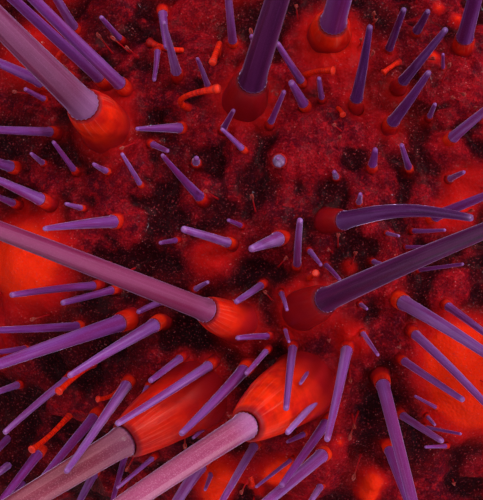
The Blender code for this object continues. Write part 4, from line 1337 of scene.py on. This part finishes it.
def disc_relief(arc, azimuth):
    """Height and pits of the plates round the apex: five large, five small and the middle."""
    turn = (azimuth - FIRST_AREA_AZIMUTH) % FIFTH_OF_A_TURN
    turn = np.minimum(turn, FIFTH_OF_A_TURN - turn)
    from_large = np.hypot(arc * np.cos(turn) - LARGE_PLATE_RADIUS, arc * np.sin(turn))
    turn = FIFTH_OF_A_TURN / 2 - turn
    from_small = np.hypot(arc * np.cos(turn) - SMALL_PLATE_RADIUS, arc * np.sin(turn))
    large = 1 - smooth_step(from_large, *LARGE_PLATE_EDGE)
    small = 1 - smooth_step(from_small, *SMALL_PLATE_EDGE)
    middle = 1 - smooth_step(arc, *DISC_MIDDLE_EDGE)
    pores = np.exp(-((from_large / PLATE_PORE_REACH) ** 2))
    vent = np.exp(-((arc / VENT_REACH) ** 2))
    height = LARGE_PLATE_HEIGHT * large + SMALL_PLATE_HEIGHT * small
    height = height - PLATE_PORE_DEPTH * pores - VENT_DEPTH * vent - DISC_MIDDLE_DEPTH * middle
    return height, np.clip(large + small, 0, 1), np.clip(pores + vent, 0, 1)


def pore_rows(arc, azimuth):
    """Shallow pits in two rows down each ambulacrum, where the tube feet leave."""
    middle = (azimuth - FIRST_AREA_AZIMUTH - FIFTH_OF_A_TURN / 2) % FIFTH_OF_A_TURN
    middle = np.minimum(middle, FIFTH_OF_A_TURN - middle)
    off_row = (middle / AMBULACRUM_WIDTH - PORE_ROW) * AMBULACRUM_WIDTH
    beside = off_row * np.interp(arc, SKIN_ARC, SKIN_RADIUS) / PORE_ROW_REACH
    along = np.sin(arc / PORE_SPACING * 2 * math.pi)
    return np.exp(-beside ** 2) * np.maximum(along, 0.0)


def skin_grid():
    """Arc and azimuth of the skin's rows and columns, closest together in the picture."""
    first, last = SKIN_END_GAP, SKIN_ARC[-1] - SKIN_END_GAP
    arcs = stepped(first, last, *SKIN_FINE_ARCS, SKIN_FINE, SKIN_COARSE)
    fine, coarse = SKIN_FINE / SKIN_TURN_RADIUS, SKIN_COARSE / SKIN_TURN_RADIUS
    return arcs, stepped(-math.pi, math.pi, *SKIN_FINE_AZIMUTHS, fine, coarse)[:-1]


def foot_nearness(points, spines):
    """How near each point is to a large and to a small foot, and the swelling round each."""
    feet, widths = column(spines, "foot"), column(spines, "width")
    large = widths > BROAD_WIDTH
    ones = np.ones(len(widths))
    near_large = nearness(points, feet[large], widths[large] * FOOT_NEAR, ones, 2)
    near_small = nearness(points, feet[~large], widths[~large] * FOOT_NEAR, ones, 2)
    swell = nearness(points, feet, widths * FOOT_SWELL_REACH, widths, 3) * FOOT_SWELL
    return near_large, near_small, swell


def swellings(points, view):
    """Height of the large swellings and of the mounds at each point, and how red they are."""
    rises = [(pixel, reach * SWELLING_REACH, rise / 1000) for pixel, reach, rise, _ in SWELLINGS]
    reds = [(pixel, reach, red) for pixel, reach, _, red in SWELLINGS]
    return bells(points, view, rises), np.clip(bells(points, view, reds), 0, 1)


def skin_relief(base, arc, azimuth, spines):
    """Height over the smooth shell at each point, and the values that the paint reads."""
    view = PhotoView()
    past_disc = smooth_step(arc, *DISC_EDGE)
    on_shell = past_disc * (1 - smooth_step(arc, BOTTOM_ARC - SHELL_FADE, BOTTOM_ARC))
    on_membrane = smooth_step(arc, BOTTOM_ARC - MEMBRANE_FADE, BOTTOM_ARC + MEMBRANE_FADE)
    warp = np.stack([rough(base + shift, WARP_SCALE) for shift in WARP_SHIFTS], axis=1) * WARP
    inside, own = cells(base + warp, LOBE_SPACING, random.Random(SKIN_SEED))
    lobes = smooth_step(inside, *LOBE_EDGE)
    mounds = rough(base, MOUND_SCALE, 3)
    slow = rough(base, SLOW_SCALE, 2)
    grain = rough(base, GRAIN_SCALE, 2)
    near_large, near_small, foot_swell = foot_nearness(base, spines)
    swelling, near_swelling = swellings(base, view)
    tint = bells(base, view, SKIN_TINTS)
    plate_height, plates, pits = disc_relief(arc, azimuth)
    pores = pore_rows(arc, azimuth) * on_shell
    calm = (1 - FOOT_CALM * near_large) * (1 - near_swelling)
    relief = LOBE_HEIGHT * (lobes * (LOBE_LEAST + LOBE_SPREAD * own) - 0.5) + MOUND_HEIGHT * mounds
    height = SKIN_LEVEL + on_shell * (calm * relief + GRAIN_HEIGHT * grain + foot_swell)
    height += swelling - PORE_DEPTH * pores
    height += (1 - past_disc) * (plate_height + DISC_GRAIN * grain)
    folds = np.sin(azimuth * FOLD_COUNT + FOLD_SWAY * slow) * FOLD_HEIGHT
    height += on_membrane * (folds + MEMBRANE_LUMP * mounds + MEMBRANE_LUMP * lobes)
    glow = np.clip(near_large * GLOW_LARGE + GLOW_SMALL * near_small + near_swelling, 0, 1) * on_shell
    # Painted shade: near black in the low places between the lobes and mounds, in the pore rows and the
    # disc's pits, none on the glowing flesh and the membrane
    hollow_shade = np.clip((1 - lobes) * HOLLOW_SHADE_LOBES - mounds * HOLLOW_SHADE_MOUNDS + HOLLOW_SHADE_LEVEL + pores, 0, 1)
    hollow_shade = hollow_shade * (1 - glow) * (1 - on_membrane)
    return height, {
        "glow": np.clip(glow + GLOW_TINT * np.maximum(tint, 0), 0, 1),
        "hollow_shade": np.clip(hollow_shade + pits, 0, 1),
        "membrane": on_membrane,
        "plate": plates * (1 - past_disc),
        "slow": np.clip(SLOW_LEVEL + SLOW_SHARE * slow - tint, 0, 1) * (1 - glow),
    }


def skin(thicket, paint):
    """One skin over the shell, the disc and the membrane, which ends inside the mouth."""
    arcs, azimuths = skin_grid()
    rows, columns = len(arcs), len(azimuths)
    arc, azimuth = np.repeat(arcs, columns), np.tile(azimuths, rows)
    base, normals = surface(arc, azimuth)
    height, values = skin_relief(base, arc, azimuth, thicket.spines)
    index = np.arange(rows * columns).reshape(rows, columns)
    after = np.roll(index, -1, axis=1)
    quads = np.stack([index[:-1], index[1:], after[1:], after[:-1]], axis=-1).reshape(-1, 4)
    corners = np.concatenate([quads.ravel(), index[0], index[-1, ::-1]])
    sizes = np.concatenate([np.full(len(quads), 4), [columns, columns]])
    maps = {"OFBake": unwrapped(arc, azimuth)[corners]}
    points = base + normals * height[:, None]
    return mesh_piece("skin", points, (corners, sizes), maps, values, paint, "flesh")


# Tube feet and jawed organs

def clear_curve(thicket, start, pull, end, radius):
    """Whether a curve keeps clear of every spine."""
    middle = (start + 2 * pull + end) / 4
    for first, last in ((start, middle), (middle, end)):
        step = last - first
        length = float(np.linalg.norm(step))
        probe = Spine(first, step / length, length, radius * 2 / BULB_SHARE, radius * 2)
        if not thicket.clear_of(probe, TUBE_GAP):
            return False
    return True


def seen_tube_feet(view):
    """Start, pull and end of the photographed tube feet."""
    for foot, pull, end, rise, reach in SEEN_TUBE_FEET:
        start = view.shell_point(foot)
        tip = start + view.direction(start, end, reach / 1000) * reach / 1000
        bow = start + view.direction(start, pull, rise / 1000) * rise / 1000
        yield start - skin_normal(start) * TUBE_SUNK, bow, tip


def free_tube_foot(view, thicket, draw, arc, azimuth):
    """A tube foot that sways its own way, clear of the spines and of the picture, or none."""
    point, normal, tangent = frame_at(arc, azimuth)
    around = np.cross(normal, tangent)
    for attempt in range(MOST_TRIES):
        length = draw.uniform(*TUBE_LENGTH)
        lean, sway = (
            tangent * draw.uniform(*down) + around * draw.uniform(*sideways)
            for down, sideways in (TUBE_LEANS, TUBE_SWAYS)
        )
        end = point + unit(normal + lean) * length
        pull = point + normal * length * TUBE_PULL + sway * length * TUBE_SWAY
        probe = Spine(point, unit(end - point), length, TUBE_PROBE, TUBE_PROBE)
        outside = min(end[2], pull[2]) < TUBE_FLOOR or max(abs(end[0]), abs(end[1])) > REACH
        if outside or view.crosses(probe) and not (view.hidden(point) and view.hidden(end)):
            continue
        if clear_curve(thicket, point, pull, end, TUBE_RADIUS * 2):
            return point - normal * TUBE_SUNK, pull, end
    return None


def tube_feet_in_rows(view, thicket):
    """Start, pull and end of the others, in two rows down each ambulacrum."""
    draw = random.Random(TUBE_SEED)
    first, last = TOP_ARC + TUBE_FROM_DISC, BOTTOM_ARC - TUBE_FROM_MEMBRANE
    for number in range(5):
        middle = FIRST_AREA_AZIMUTH + (number + 0.5) * FIFTH_OF_A_TURN
        for side in (-1, 1):
            for arc in np.arange(first, last, TUBE_SPACING):
                row = PORE_ROW + draw.uniform(-TUBE_ROW_JITTER, TUBE_ROW_JITTER)
                here = arc + draw.uniform(-TUBE_ARC_JITTER, TUBE_ARC_JITTER) * TUBE_SPACING
                azimuth = middle + side * AMBULACRUM_WIDTH * row
                found = free_tube_foot(view, thicket, draw, here, azimuth)
                if found is not None:
                    yield found


def mouth_tube_feet():
    """Start, pull and end of the short ones on the membrane."""
    for number in range(MOUTH_FEET):
        pair_middle = FIRST_AREA_AZIMUTH + FIFTH_OF_A_TURN * (number // 2 + 0.5)
        azimuth = pair_middle + (-1) ** number * MOUTH_FOOT_TURN
        point, normal = surface(BOTTOM_ARC + MOUTH_FOOT_INSET, azimuth)
        outward = np.array([math.cos(azimuth), math.sin(azimuth), 0.0])
        pull = point + normal * MOUTH_FOOT_REACH * MOUTH_FOOT_RISE
        end = pull + outward * MOUTH_FOOT_REACH * MOUTH_FOOT_RUN
        yield point - normal * TUBE_SUNK, pull, end


def tube_feet(view, thicket, paint):
    """All the tube feet: curved tubes with a sunken root and a flat disc at the end."""
    found = [*seen_tube_feet(view), *tube_feet_in_rows(view, thicket), *mouth_tube_feet()]
    starts, pulls, ends = (np.array(points)[:, None] for points in zip(*found))
    draw = random.Random(TUBE_SEED + 1)
    chance = np.array([draw.random() for _ in found])
    radii = TUBE_RADIUS * (TUBE_SPREAD[0] + TUBE_SPREAD[1] * chance)[:, None] * np.array(TUBE_OUTLINE)
    share = np.array(TUBE_SHARES)[:, None]
    centres = starts * (1 - share) ** 2 + pulls * (2 * share * (1 - share)) + ends * share ** 2
    growth = Growth()
    roots = [start for start, _, _ in found]
    add_along(growth, centres, radii, TUBE_SIDES, roots, TUBE_SHARES, chance=chance[:, None, None])
    return growth.piece("tube_feet", paint, "flesh", TUBE_PATCH)


def add_along(growth, centres, radii, sides, roots, travel, **values):
    """Tubes of rings square to the curves through the given centres."""
    steps = unit_rows(np.gradient(centres, axis=1))
    across, _ = frames_across(unit_rows(centres[:, -1] - centres[:, 0]))
    across = unit_rows(across[:, None] - steps * np.sum(across[:, None] * steps, axis=-1, keepdims=True))
    along = np.cross(steps, across)
    turn = (2 * math.pi * np.arange(sides) / sides)[:, None]
    circle = across[:, :, None] * np.cos(turn) + along[:, :, None] * np.sin(turn)
    points = centres[:, :, None] + circle * radii[:, :, None, None]
    points[..., 2] = np.maximum(points[..., 2], 0.0)
    growth.add_tubes(points, np.broadcast_to(travel, radii.shape), roots, **values)


def jawed_places(view, thicket, draw):
    """Foot, direction and length of each jawed organ, the photographed ones first."""
    found = []
    for foot, aim, length in SEEN_JAWED:
        start = view.shell_point(foot)
        found.append((start, view.direction(start, aim, length / 1000), length / 1000))
    while len(found) < JAWED_COUNT:
        arc = draw.uniform(TOP_ARC + JAWED_FROM_EDGE, BOTTOM_ARC - JAWED_FROM_EDGE)
        azimuth = draw.uniform(-math.pi, math.pi)
        point, normal, tangent = frame_at(arc, azimuth)
        lean = abs(draw.gauss(0, JAWED_LEAN))
        direction = tilted(normal, tangent, lean, draw.uniform(0, 2 * math.pi))
        length = draw.uniform(*JAWED_LENGTH)
        end = point + direction * length
        clear = clear_curve(thicket, point, point + direction * length / 2, end, JAWED_HEAD)
        if clear and end[2] > TUBE_FLOOR:
            found.append((point, direction, length))
    return [np.array(values) for values in zip(*found)]


def pedicellariae(view, thicket, paint):
    """Small organs on thin stalks among the spines, each with three jaws."""
    draw = random.Random(JAWED_SEED)
    starts, directions, lengths = jawed_places(view, thicket, draw)
    chance = np.array([draw.random() for _ in starts])
    across, along = frames_across(directions)
    growth = Growth()

    def add(shares, outline, aside, roots, travel):
        runs = directions[:, None] * (np.array(shares)[None, :] * lengths[:, None])[..., None]
        centres = starts[:, None] + runs + aside
        radii = np.broadcast_to(outline, (len(starts), len(shares)))
        add_along(growth, centres, radii, JAWED_SIDES, list(roots), travel, chance=chance[:, None, None])

    add(STALK_SHARES, np.array(STALK_OUTLINE) * JAWED_STALK, 0.0, starts, np.clip(STALK_SHARES, 0, 1))
    spread = (np.array(JAW_SPREAD) * JAWED_HEAD)[None, :, None]
    for jaw in range(JAW_COUNT):
        turn = 2 * math.pi * (jaw / JAW_COUNT + chance)[:, None]
        side = across * np.cos(turn) + along * np.sin(turn)
        roots = starts + side * JAW_ROOT_APART
        add(JAW_SHARES, np.array(JAW_OUTLINE) * JAWED_HEAD, side[:, None] * spread, roots, JAW_SHARES)
    return growth.piece("pedicellariae", paint, "flesh", JAWED_PATCH)


# Materials

class Paint:
    """A Principled material, with short ways to add nodes and join them."""

    def __init__(self, name, **sockets):
        self.material = bpy.data.materials.new(name)
        self.material.use_nodes = True
        self.tree = self.material.node_tree
        self.shader = self.tree.nodes["Principled BSDF"]
        for socket, value in sockets.items():
            self.shader.inputs[socket.replace("_", " ")].default_value = value

    def put(self, kind, inputs, output=0, **settings):
        node = self.tree.nodes.new("ShaderNode" + kind)
        for key, value in settings.items():
            setattr(node, key, value)
        for key, value in inputs.items():
            if isinstance(value, bpy.types.NodeSocket):
                self.tree.links.new(value, node.inputs[key])
            else:
                node.inputs[key].default_value = value
        return node.outputs[output]

    def value(self, name):
        return self.put("Attribute", {}, "Fac", attribute_name=name)

    def maths(self, operation, *terms):
        return self.put("Math", dict(enumerate(terms)), operation=operation)

    def times(self, product, *others):
        for other in others:
            product = self.maths("MULTIPLY", product, other)
        return product

    def span(self, value, low, high, new_low=0.0, new_high=1.0):
        """A value's stretch from low to high, eased into another one."""
        inputs = {"Value": value, "From Min": low, "From Max": high, "To Min": new_low, "To Max": new_high}
        return self.put("MapRange", inputs, interpolation_type="SMOOTHSTEP")

    def mix(self, share, first, second):
        return self.put("Mix", {0: share, 6: first, 7: second}, 2, data_type="RGBA", clamp_factor=True)

    def layers(self, colour, *coats):
        """Colours laid over the first one, each as strong as its share."""
        for share, over in coats:
            colour = self.mix(share, colour, over)
        return colour

    def place(self):
        return self.put("TexCoord", {}, "Object")

    def spine_map(self):
        """How far round and how far along its tube each place is."""
        return self.put("SeparateXYZ", {0: self.put("UVMap", {}, uv_map="SpineMap")}).node.outputs

    def along_spine(self, across, lengthwise):
        """Noise coordinates that run round and along each tube, different for each one."""
        split = self.spine_map()
        turn = self.times(split[0], 2 * math.pi)
        shift = self.times(self.value("chance"), CHANCE_SHIFT)
        return self.put("CombineXYZ", {
            0: self.times(self.maths("COSINE", turn), across),
            1: self.times(self.maths("SINE", turn), across),
            2: self.maths("ADD", self.times(split[1], lengthwise), shift),
        })

    def ramp(self, value, stops):
        node = self.put("ValToRGB", {0: value}).node
        points = node.color_ramp.elements
        while len(points) < len(stops):
            points.new(0.5)
        for point, (place, tint) in zip(points, stops):
            point.position = place
            point.color = (*tint, 1.0)
        return node.outputs[0]

    def noise(self, place, scale, detail=2.0, roughness=0.5):
        inputs = {"Vector": place, "Scale": scale, "Detail": detail, "Roughness": roughness}
        return self.put("TexNoise", inputs)

    def spine_noise(self, across, lengthwise, detail=1.0, roughness=0.5):
        """Noise whose grain runs along each tube."""
        return self.noise(self.along_spine(across, lengthwise), 1.0, detail, roughness)

    def finish(self, colour=None, roughness=None, height=None, bump=0.3, depth=0.0002):
        if colour is not None:
            self.tree.links.new(colour, self.shader.inputs["Base Color"])
        if roughness is not None:
            self.tree.links.new(roughness, self.shader.inputs["Roughness"])
        if height is not None:
            inputs = {"Height": height, "Strength": bump, "Distance": depth}
            self.tree.links.new(self.put("Bump", inputs), self.shader.inputs["Normal"])
        return self.material


def shaft_paint():
    """Violet to dusty pink shafts with fine lengthwise lines, grains and paler ends, with painted light
    and shade: a lit and a shaded side down each shaft and a partly painted highlight at the root.
    """
    paint = Paint(
        "spine_shaft", IOR=1.40, Specular_IOR_Level=0.16, Sheen_Weight=1.0, Sheen_Roughness=0.15,
        Sheen_Tint=SHEEN_LAVENDER, Coat_Weight=0.35, Coat_Roughness=0.15, Subsurface_Weight=0.10,
        Subsurface_Scale=0.0010, Subsurface_Radius=(0.8, 0.3, 0.8),
    )
    tone, rim = paint.value("tone"), paint.value("rim")
    main, deep, pale = (
        paint.ramp(tone, [(stop[0], stop[shade]) for stop in SHAFT_TONES]) for shade in (1, 2, 3)
    )
    streaks = paint.spine_noise(5.5, 2.2, 4.0, 0.62)
    blotches = paint.spine_noise(0.7, 3.0, 3.0)
    # Long bands down each shaft, deeper on one side and paler on the other: painted shade and painted
    # light
    lit_and_shaded_sides = paint.spine_noise(0.85, 0.7)
    grains = paint.noise(paint.place(), SHAFT_GRAINS, 2.0, 0.6)
    pink = paint.span(tone, 0.70, 0.88)
    grainy = paint.times(paint.span(grains, 0.52, 0.68), paint.span(pink, 0.0, 1.0, 0.18, 0.42))
    # Paler lavender near the root of the pinker shafts: partly their own colour, partly a painted
    # highlight
    base = paint.times(
        paint.span(rim, 0.2, 2.0, 1.0, 0.0), paint.span(tone, 0.60, 0.8),
        paint.span(tone, 0.92, 1.0, 0.42, 0.12),
    )
    milled_edge = paint.times(paint.span(rim, -0.25, -0.05), paint.span(rim, 0.0, 0.14, 0.7, 0.0))
    ring = paint.times(
        paint.span(rim, -0.3, -0.1), paint.span(rim, 0.03, 0.12, 1.0, 0.0),
        paint.span(pink, 0.0, 1.0, 0.0, 0.85),
    )
    shaft = paint.layers(
        main,
        (paint.span(blotches, 0.42, 0.68, 0.0, 0.75), deep),
        # Painted shade on one side and painted light on the other side of each shaft
        (paint.span(lit_and_shaded_sides, 0.46, 0.36, 0.0, 0.75), deep),
        (paint.span(lit_and_shaded_sides, 0.53, 0.62, 0.0, 0.30), pale),
        (paint.span(streaks, 0.52, 0.76, 0.0, 0.45), pale),
        (grainy, pale),
        (base, ROOT_LAVENDER_AND_HIGHLIGHT),
        (milled_edge, ROOT_LAVENDER_AND_HIGHLIGHT),
        (ring, RING_MAROON),
        (paint.span(paint.spine_map()[1], 0.95, 1.0, 0.0, 0.12), PALE_TIP),
    )
    height = paint.maths("ADD", streaks, paint.times(grains, 0.5))
    return paint.finish(shaft, paint.span(streaks, 0.3, 0.7, 0.55, 0.42), height, 0.30, 0.00012)


def foot_paint():
    """Orange-red muscle with fine fibres, with painted shade on the feet of the darkest spines, and red at
    the skin.
    """
    paint = Paint(
        "spine_foot", IOR=1.38, Specular_IOR_Level=0.12, Coat_Weight=0.03, Coat_Roughness=0.08,
        Subsurface_Weight=0.5, Subsurface_Scale=0.0014, Subsurface_Radius=(1.0, 0.08, 0.04),
    )
    rise = paint.value("rise")
    fibres = paint.spine_noise(9.0, 1.2, 3.0, 0.6)
    patches = paint.noise(paint.place(), MUSCLE_PATCHES, 3.0, 0.55)
    lines = paint.times(paint.span(fibres, 0.5, 0.66), paint.span(rise, 0.35, 0.8), 0.35)
    muscle = paint.layers(
        FLESH_ORANGE,
        (paint.span(patches, 0.35, 0.68), FLESH_RED),
        (paint.times(paint.value("chance"), 0.5), FLESH_RED),
        (lines, FLESH_PALE),
        (paint.span(paint.value("thick"), 0.6, 1.2, 0.3, 0.0), SKIN_RED),
        # Painted shade: the feet of the darkest spines are darkened towards the skin's red
        (paint.span(paint.value("tone"), 0.18, 0.34, 0.85, 0.0), SKIN_RED),
        (paint.span(rise, 0.55, 0.0, 0.0, 0.9), SKIN_RED),
        (paint.span(rise, 0.93, 0.99, 0.0, 0.7), RING_MAROON),
    )
    height = paint.maths("ADD", paint.times(fibres, paint.span(rise, 0.2, 0.8)), patches)
    return paint.finish(muscle, paint.span(patches, 0.3, 0.7, 0.30, 0.45), height, 0.3, 0.00018)


def skin_paint():
    """Wet deep red skin, with painted shade that is near black in its hollows, and orange-red on its
    swellings.
    """
    paint = Paint(
        "skin", IOR=1.36, Specular_IOR_Level=0.02, Coat_Weight=0.02, Coat_Roughness=0.06,
        Subsurface_Weight=0.3, Subsurface_Scale=0.0010, Subsurface_Radius=(1.0, 0.08, 0.05),
    )
    place, glow, slow = paint.place(), paint.value("glow"), paint.value("slow")
    fine = paint.noise(place, SKIN_FINE_MOTTLES, 4.0, 0.6)
    broad = paint.noise(place, SKIN_MOTTLES, 4.0, 0.6)
    grains = paint.noise(place, SKIN_GRAINS, 2.0, 0.65)
    specks = paint.put("TexVoronoi", {"Vector": place, "Scale": SKIN_SPECKS, "Randomness": 1.0})
    dark_grains = paint.times(
        paint.span(grains, 0.52, 0.36, 0.0, 0.45), paint.span(glow, 0.15, 0.45, 1.0, 0.0)
    )
    spots = paint.times(
        paint.span(specks, 0.12, 0.24, 1.0, 0.0), paint.span(fine, 0.50, 0.58),
        paint.span(broad, 0.44, 0.60, 0.05, 0.6),
    )
    membrane = paint.layers(
        MEMBRANE_RED,
        (paint.span(fine, 0.4, 0.66), MEMBRANE_PALE),
        (paint.span(broad, 0.42, 0.60, 0.0, 0.7), SKIN_RED),
        (paint.span(slow, 0.2, 0.8, 0.0, 0.5), SKIN_DARK),
    )
    skin_colour = paint.layers(
        SKIN_DARK,
        (paint.span(broad, 0.36, 0.60), SKIN_RED),
        (paint.span(fine, 0.48, 0.68, 0.0, 0.65), SKIN_BRIGHT),
        # Painted shade in the hollows
        (paint.span(paint.value("hollow_shade"), 0.05, 0.9, 0.0, 0.92), SKIN_BLACK_AND_SHADE),
        (paint.span(slow, 0.0, 1.0, 0.0, 0.88), SKIN_BLACK_AND_SHADE),
        (paint.span(glow, 0.1, 0.6, 0.0, 0.88), FLESH_RED),
        (paint.span(glow, 0.55, 1.0, 0.0, 0.75), FLESH_ORANGE),
        (dark_grains, SKIN_BLACK_AND_SHADE),
        (paint.span(grains, 0.57, 0.72, 0.0, 0.40), GRAIN_PINK),
        (spots, SPECK),
        (paint.value("membrane"), membrane),
        (paint.times(paint.value("plate"), 0.5), PLATE_RED),
    )
    height = paint.maths("ADD", fine, paint.times(specks, -0.4))
    return paint.finish(skin_colour, paint.span(fine, 0.3, 0.7, 0.38, 0.55), height, 0.55, 0.00028)


def tube_foot_paint():
    """Thin orange-red tubes, ringed by fine folds, with paler discs at their ends."""
    paint = Paint(
        "tube_foot", IOR=1.38, Specular_IOR_Level=0.2, Coat_Weight=0.04, Coat_Roughness=0.15,
        Subsurface_Weight=0.5, Subsurface_Scale=0.0006, Subsurface_Radius=(1.0, 0.2, 0.1),
    )
    travel = paint.spine_map()[1]
    folds = paint.spine_noise(0.3, 55.0)
    stalk = paint.layers(
        FLESH_ORANGE,
        (paint.span(folds, 0.35, 0.65), FLESH_RED),
        (paint.span(travel, 0.25, 0.0, 0.0, 0.8), SKIN_RED),
        (paint.span(travel, 0.92, 0.97, 0.0, 0.10), FLESH_PALE),
    )
    return paint.finish(stalk, paint.span(folds, 0.3, 0.7, 0.25, 0.4), folds, 0.5, 0.0001)


def jawed_paint():
    """Dull pink stalks with pale heads."""
    paint = Paint(
        "pedicellaria", IOR=1.40, Specular_IOR_Level=0.2, Coat_Weight=0.04, Coat_Roughness=0.2,
        Subsurface_Weight=0.3, Subsurface_Scale=0.0004, Subsurface_Radius=(1.0, 0.3, 0.2),
    )
    grains = paint.noise(paint.place(), SKIN_GRAINS)
    head = paint.mix(paint.span(grains, 0.4, 0.62), JAW_RED, JAW_PALE)
    stalk = paint.mix(paint.span(paint.spine_map()[1], 0.45, 0.85), SKIN_BRIGHT, head)
    return paint.finish(stalk, paint.span(grains, 0.3, 0.7, 0.3, 0.45), grains, 0.4, 0.00006)


def tooth_paint():
    """Off-white teeth with fine growth lines and stained roots."""
    paint = Paint(
        "tooth_enamel", IOR=1.55, Coat_Weight=0.2, Coat_Roughness=0.15, Subsurface_Weight=0.1,
        Subsurface_Scale=0.0006,
    )
    place = paint.place()
    above_floor = paint.put("SeparateXYZ", {0: place}).node.outputs[2]
    stretched = paint.put("Mapping", {"Vector": place, "Scale": TOOTH_STRETCH})
    lines = paint.noise(stretched, TOOTH_LINES, 3.0, 0.6)
    enamel = paint.layers(
        TOOTH_PALE,
        (paint.span(lines, 0.38, 0.66), TOOTH_STAIN),
        (paint.span(above_floor, *TOOTH_ROOT, 0.0, 0.7), TOOTH_STAIN),
    )
    return paint.finish(enamel, paint.span(lines, 0.3, 0.7, 0.22, 0.38), lines, 0.25, 0.00008)


def floor_paint():
    paint = Paint("floor", IOR=1.45)
    grains = paint.noise(paint.place(), FLOOR_GRAINS, 3.0)
    tint = paint.mix(paint.span(grains, 0.3, 0.7), FLOOR_PALE, FLOOR_SHADE)
    return paint.finish(tint, paint.span(grains, 0.3, 0.7, 0.6, 0.7), grains, 0.05, 0.0005)


# The stage

def floor(paint):
    mesh = bpy.data.meshes.new("floor")
    corners = [(x * FLOOR_HALF, y * FLOOR_HALF, 0.0) for x, y in ((-1, -1), (1, -1), (1, 1), (-1, 1))]
    mesh.from_pydata(corners, [], [(0, 1, 2, 3)])
    mesh.materials.append(paint)
    item = bpy.data.objects.new("floor", mesh)
    bpy.context.scene.collection.objects.link(item)
    item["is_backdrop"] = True


def lights():
    """Area lights aimed at the middle of the shell, and a pale world round them."""
    for name, place, size, power, tint in LIGHTS:
        light = bpy.data.lights.new(name, "AREA")
        light.size = size
        light.energy = power
        light.color = tint
        item = bpy.data.objects.new(name, light)
        item.location = place
        aim = Vector((0.0, 0.0, WAIST_Z)) - Vector(place)
        item.rotation_euler = aim.to_track_quat("-Z", "Y").to_euler()
        bpy.context.scene.collection.objects.link(item)
    world = bpy.data.worlds.new("studio")
    world.use_nodes = True
    background = world.node_tree.nodes["Background"].inputs
    background["Color"].default_value = WORLD_COLOUR
    background["Strength"].default_value = WORLD_STRENGTH
    bpy.context.scene.world = world
    bpy.context.scene.view_settings.view_transform = "Standard"


def camera(view):
    """The photograph's camera: the spines' layout and the picture share one view."""
    lens = bpy.data.cameras.new("photo_camera")
    lens.sensor_fit = "HORIZONTAL"
    lens.angle = 2 * math.atan(PHOTO_WIDTH / 2 / view.focal)
    lens.clip_start = NEAREST_SEEN
    item = bpy.data.objects.new("photo_camera", lens)
    turn = Matrix((view.right, view.up, -view.forward)).transposed().to_4x4()
    item.matrix_world = Matrix.Translation(view.eye) @ turn
    bpy.context.scene.collection.objects.link(item)
    bpy.context.scene.camera = item


def teeth(nodes, paint):
    """The model's own teeth, with softened edges and the enamel."""
    for number in range(1, TOOTH_COUNT + 1):
        item = nodes[f"tooth_{number}"]
        item.data.materials.clear()
        item.data.materials.append(paint)
        soften = item.modifiers.new("soften", "BEVEL")
        soften.width = TOOTH_EDGE
        soften.segments = 3
        soften.limit_method = "ANGLE"


def build():
    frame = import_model()
    packed_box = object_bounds()
    view = PhotoView()
    camera(view)
    thicket = lay_out_spines()
    disc_spines(thicket)
    stand_as_seen(view, thicket)
    small_spines(view, thicket)
    fine_scatter(view, thicket)
    give_looks(view, thicket)
    flesh_nodes = [name for name in frame["nodes"] if not name.startswith("tooth")]
    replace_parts(skin(thicket, skin_paint()), *flesh_nodes)
    spine_pieces(thicket.spines, shaft_paint(), foot_paint())
    tube_feet(view, thicket, tube_foot_paint())
    pedicellariae(view, thicket, jawed_paint())
    teeth(frame["nodes"], tooth_paint())
    floor(floor_paint())
    lights()
    boxes = {"packed": packed_box, "visual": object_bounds()}
    {key: [list(corner) for corner in box] for key, box in boxes.items()}


build()
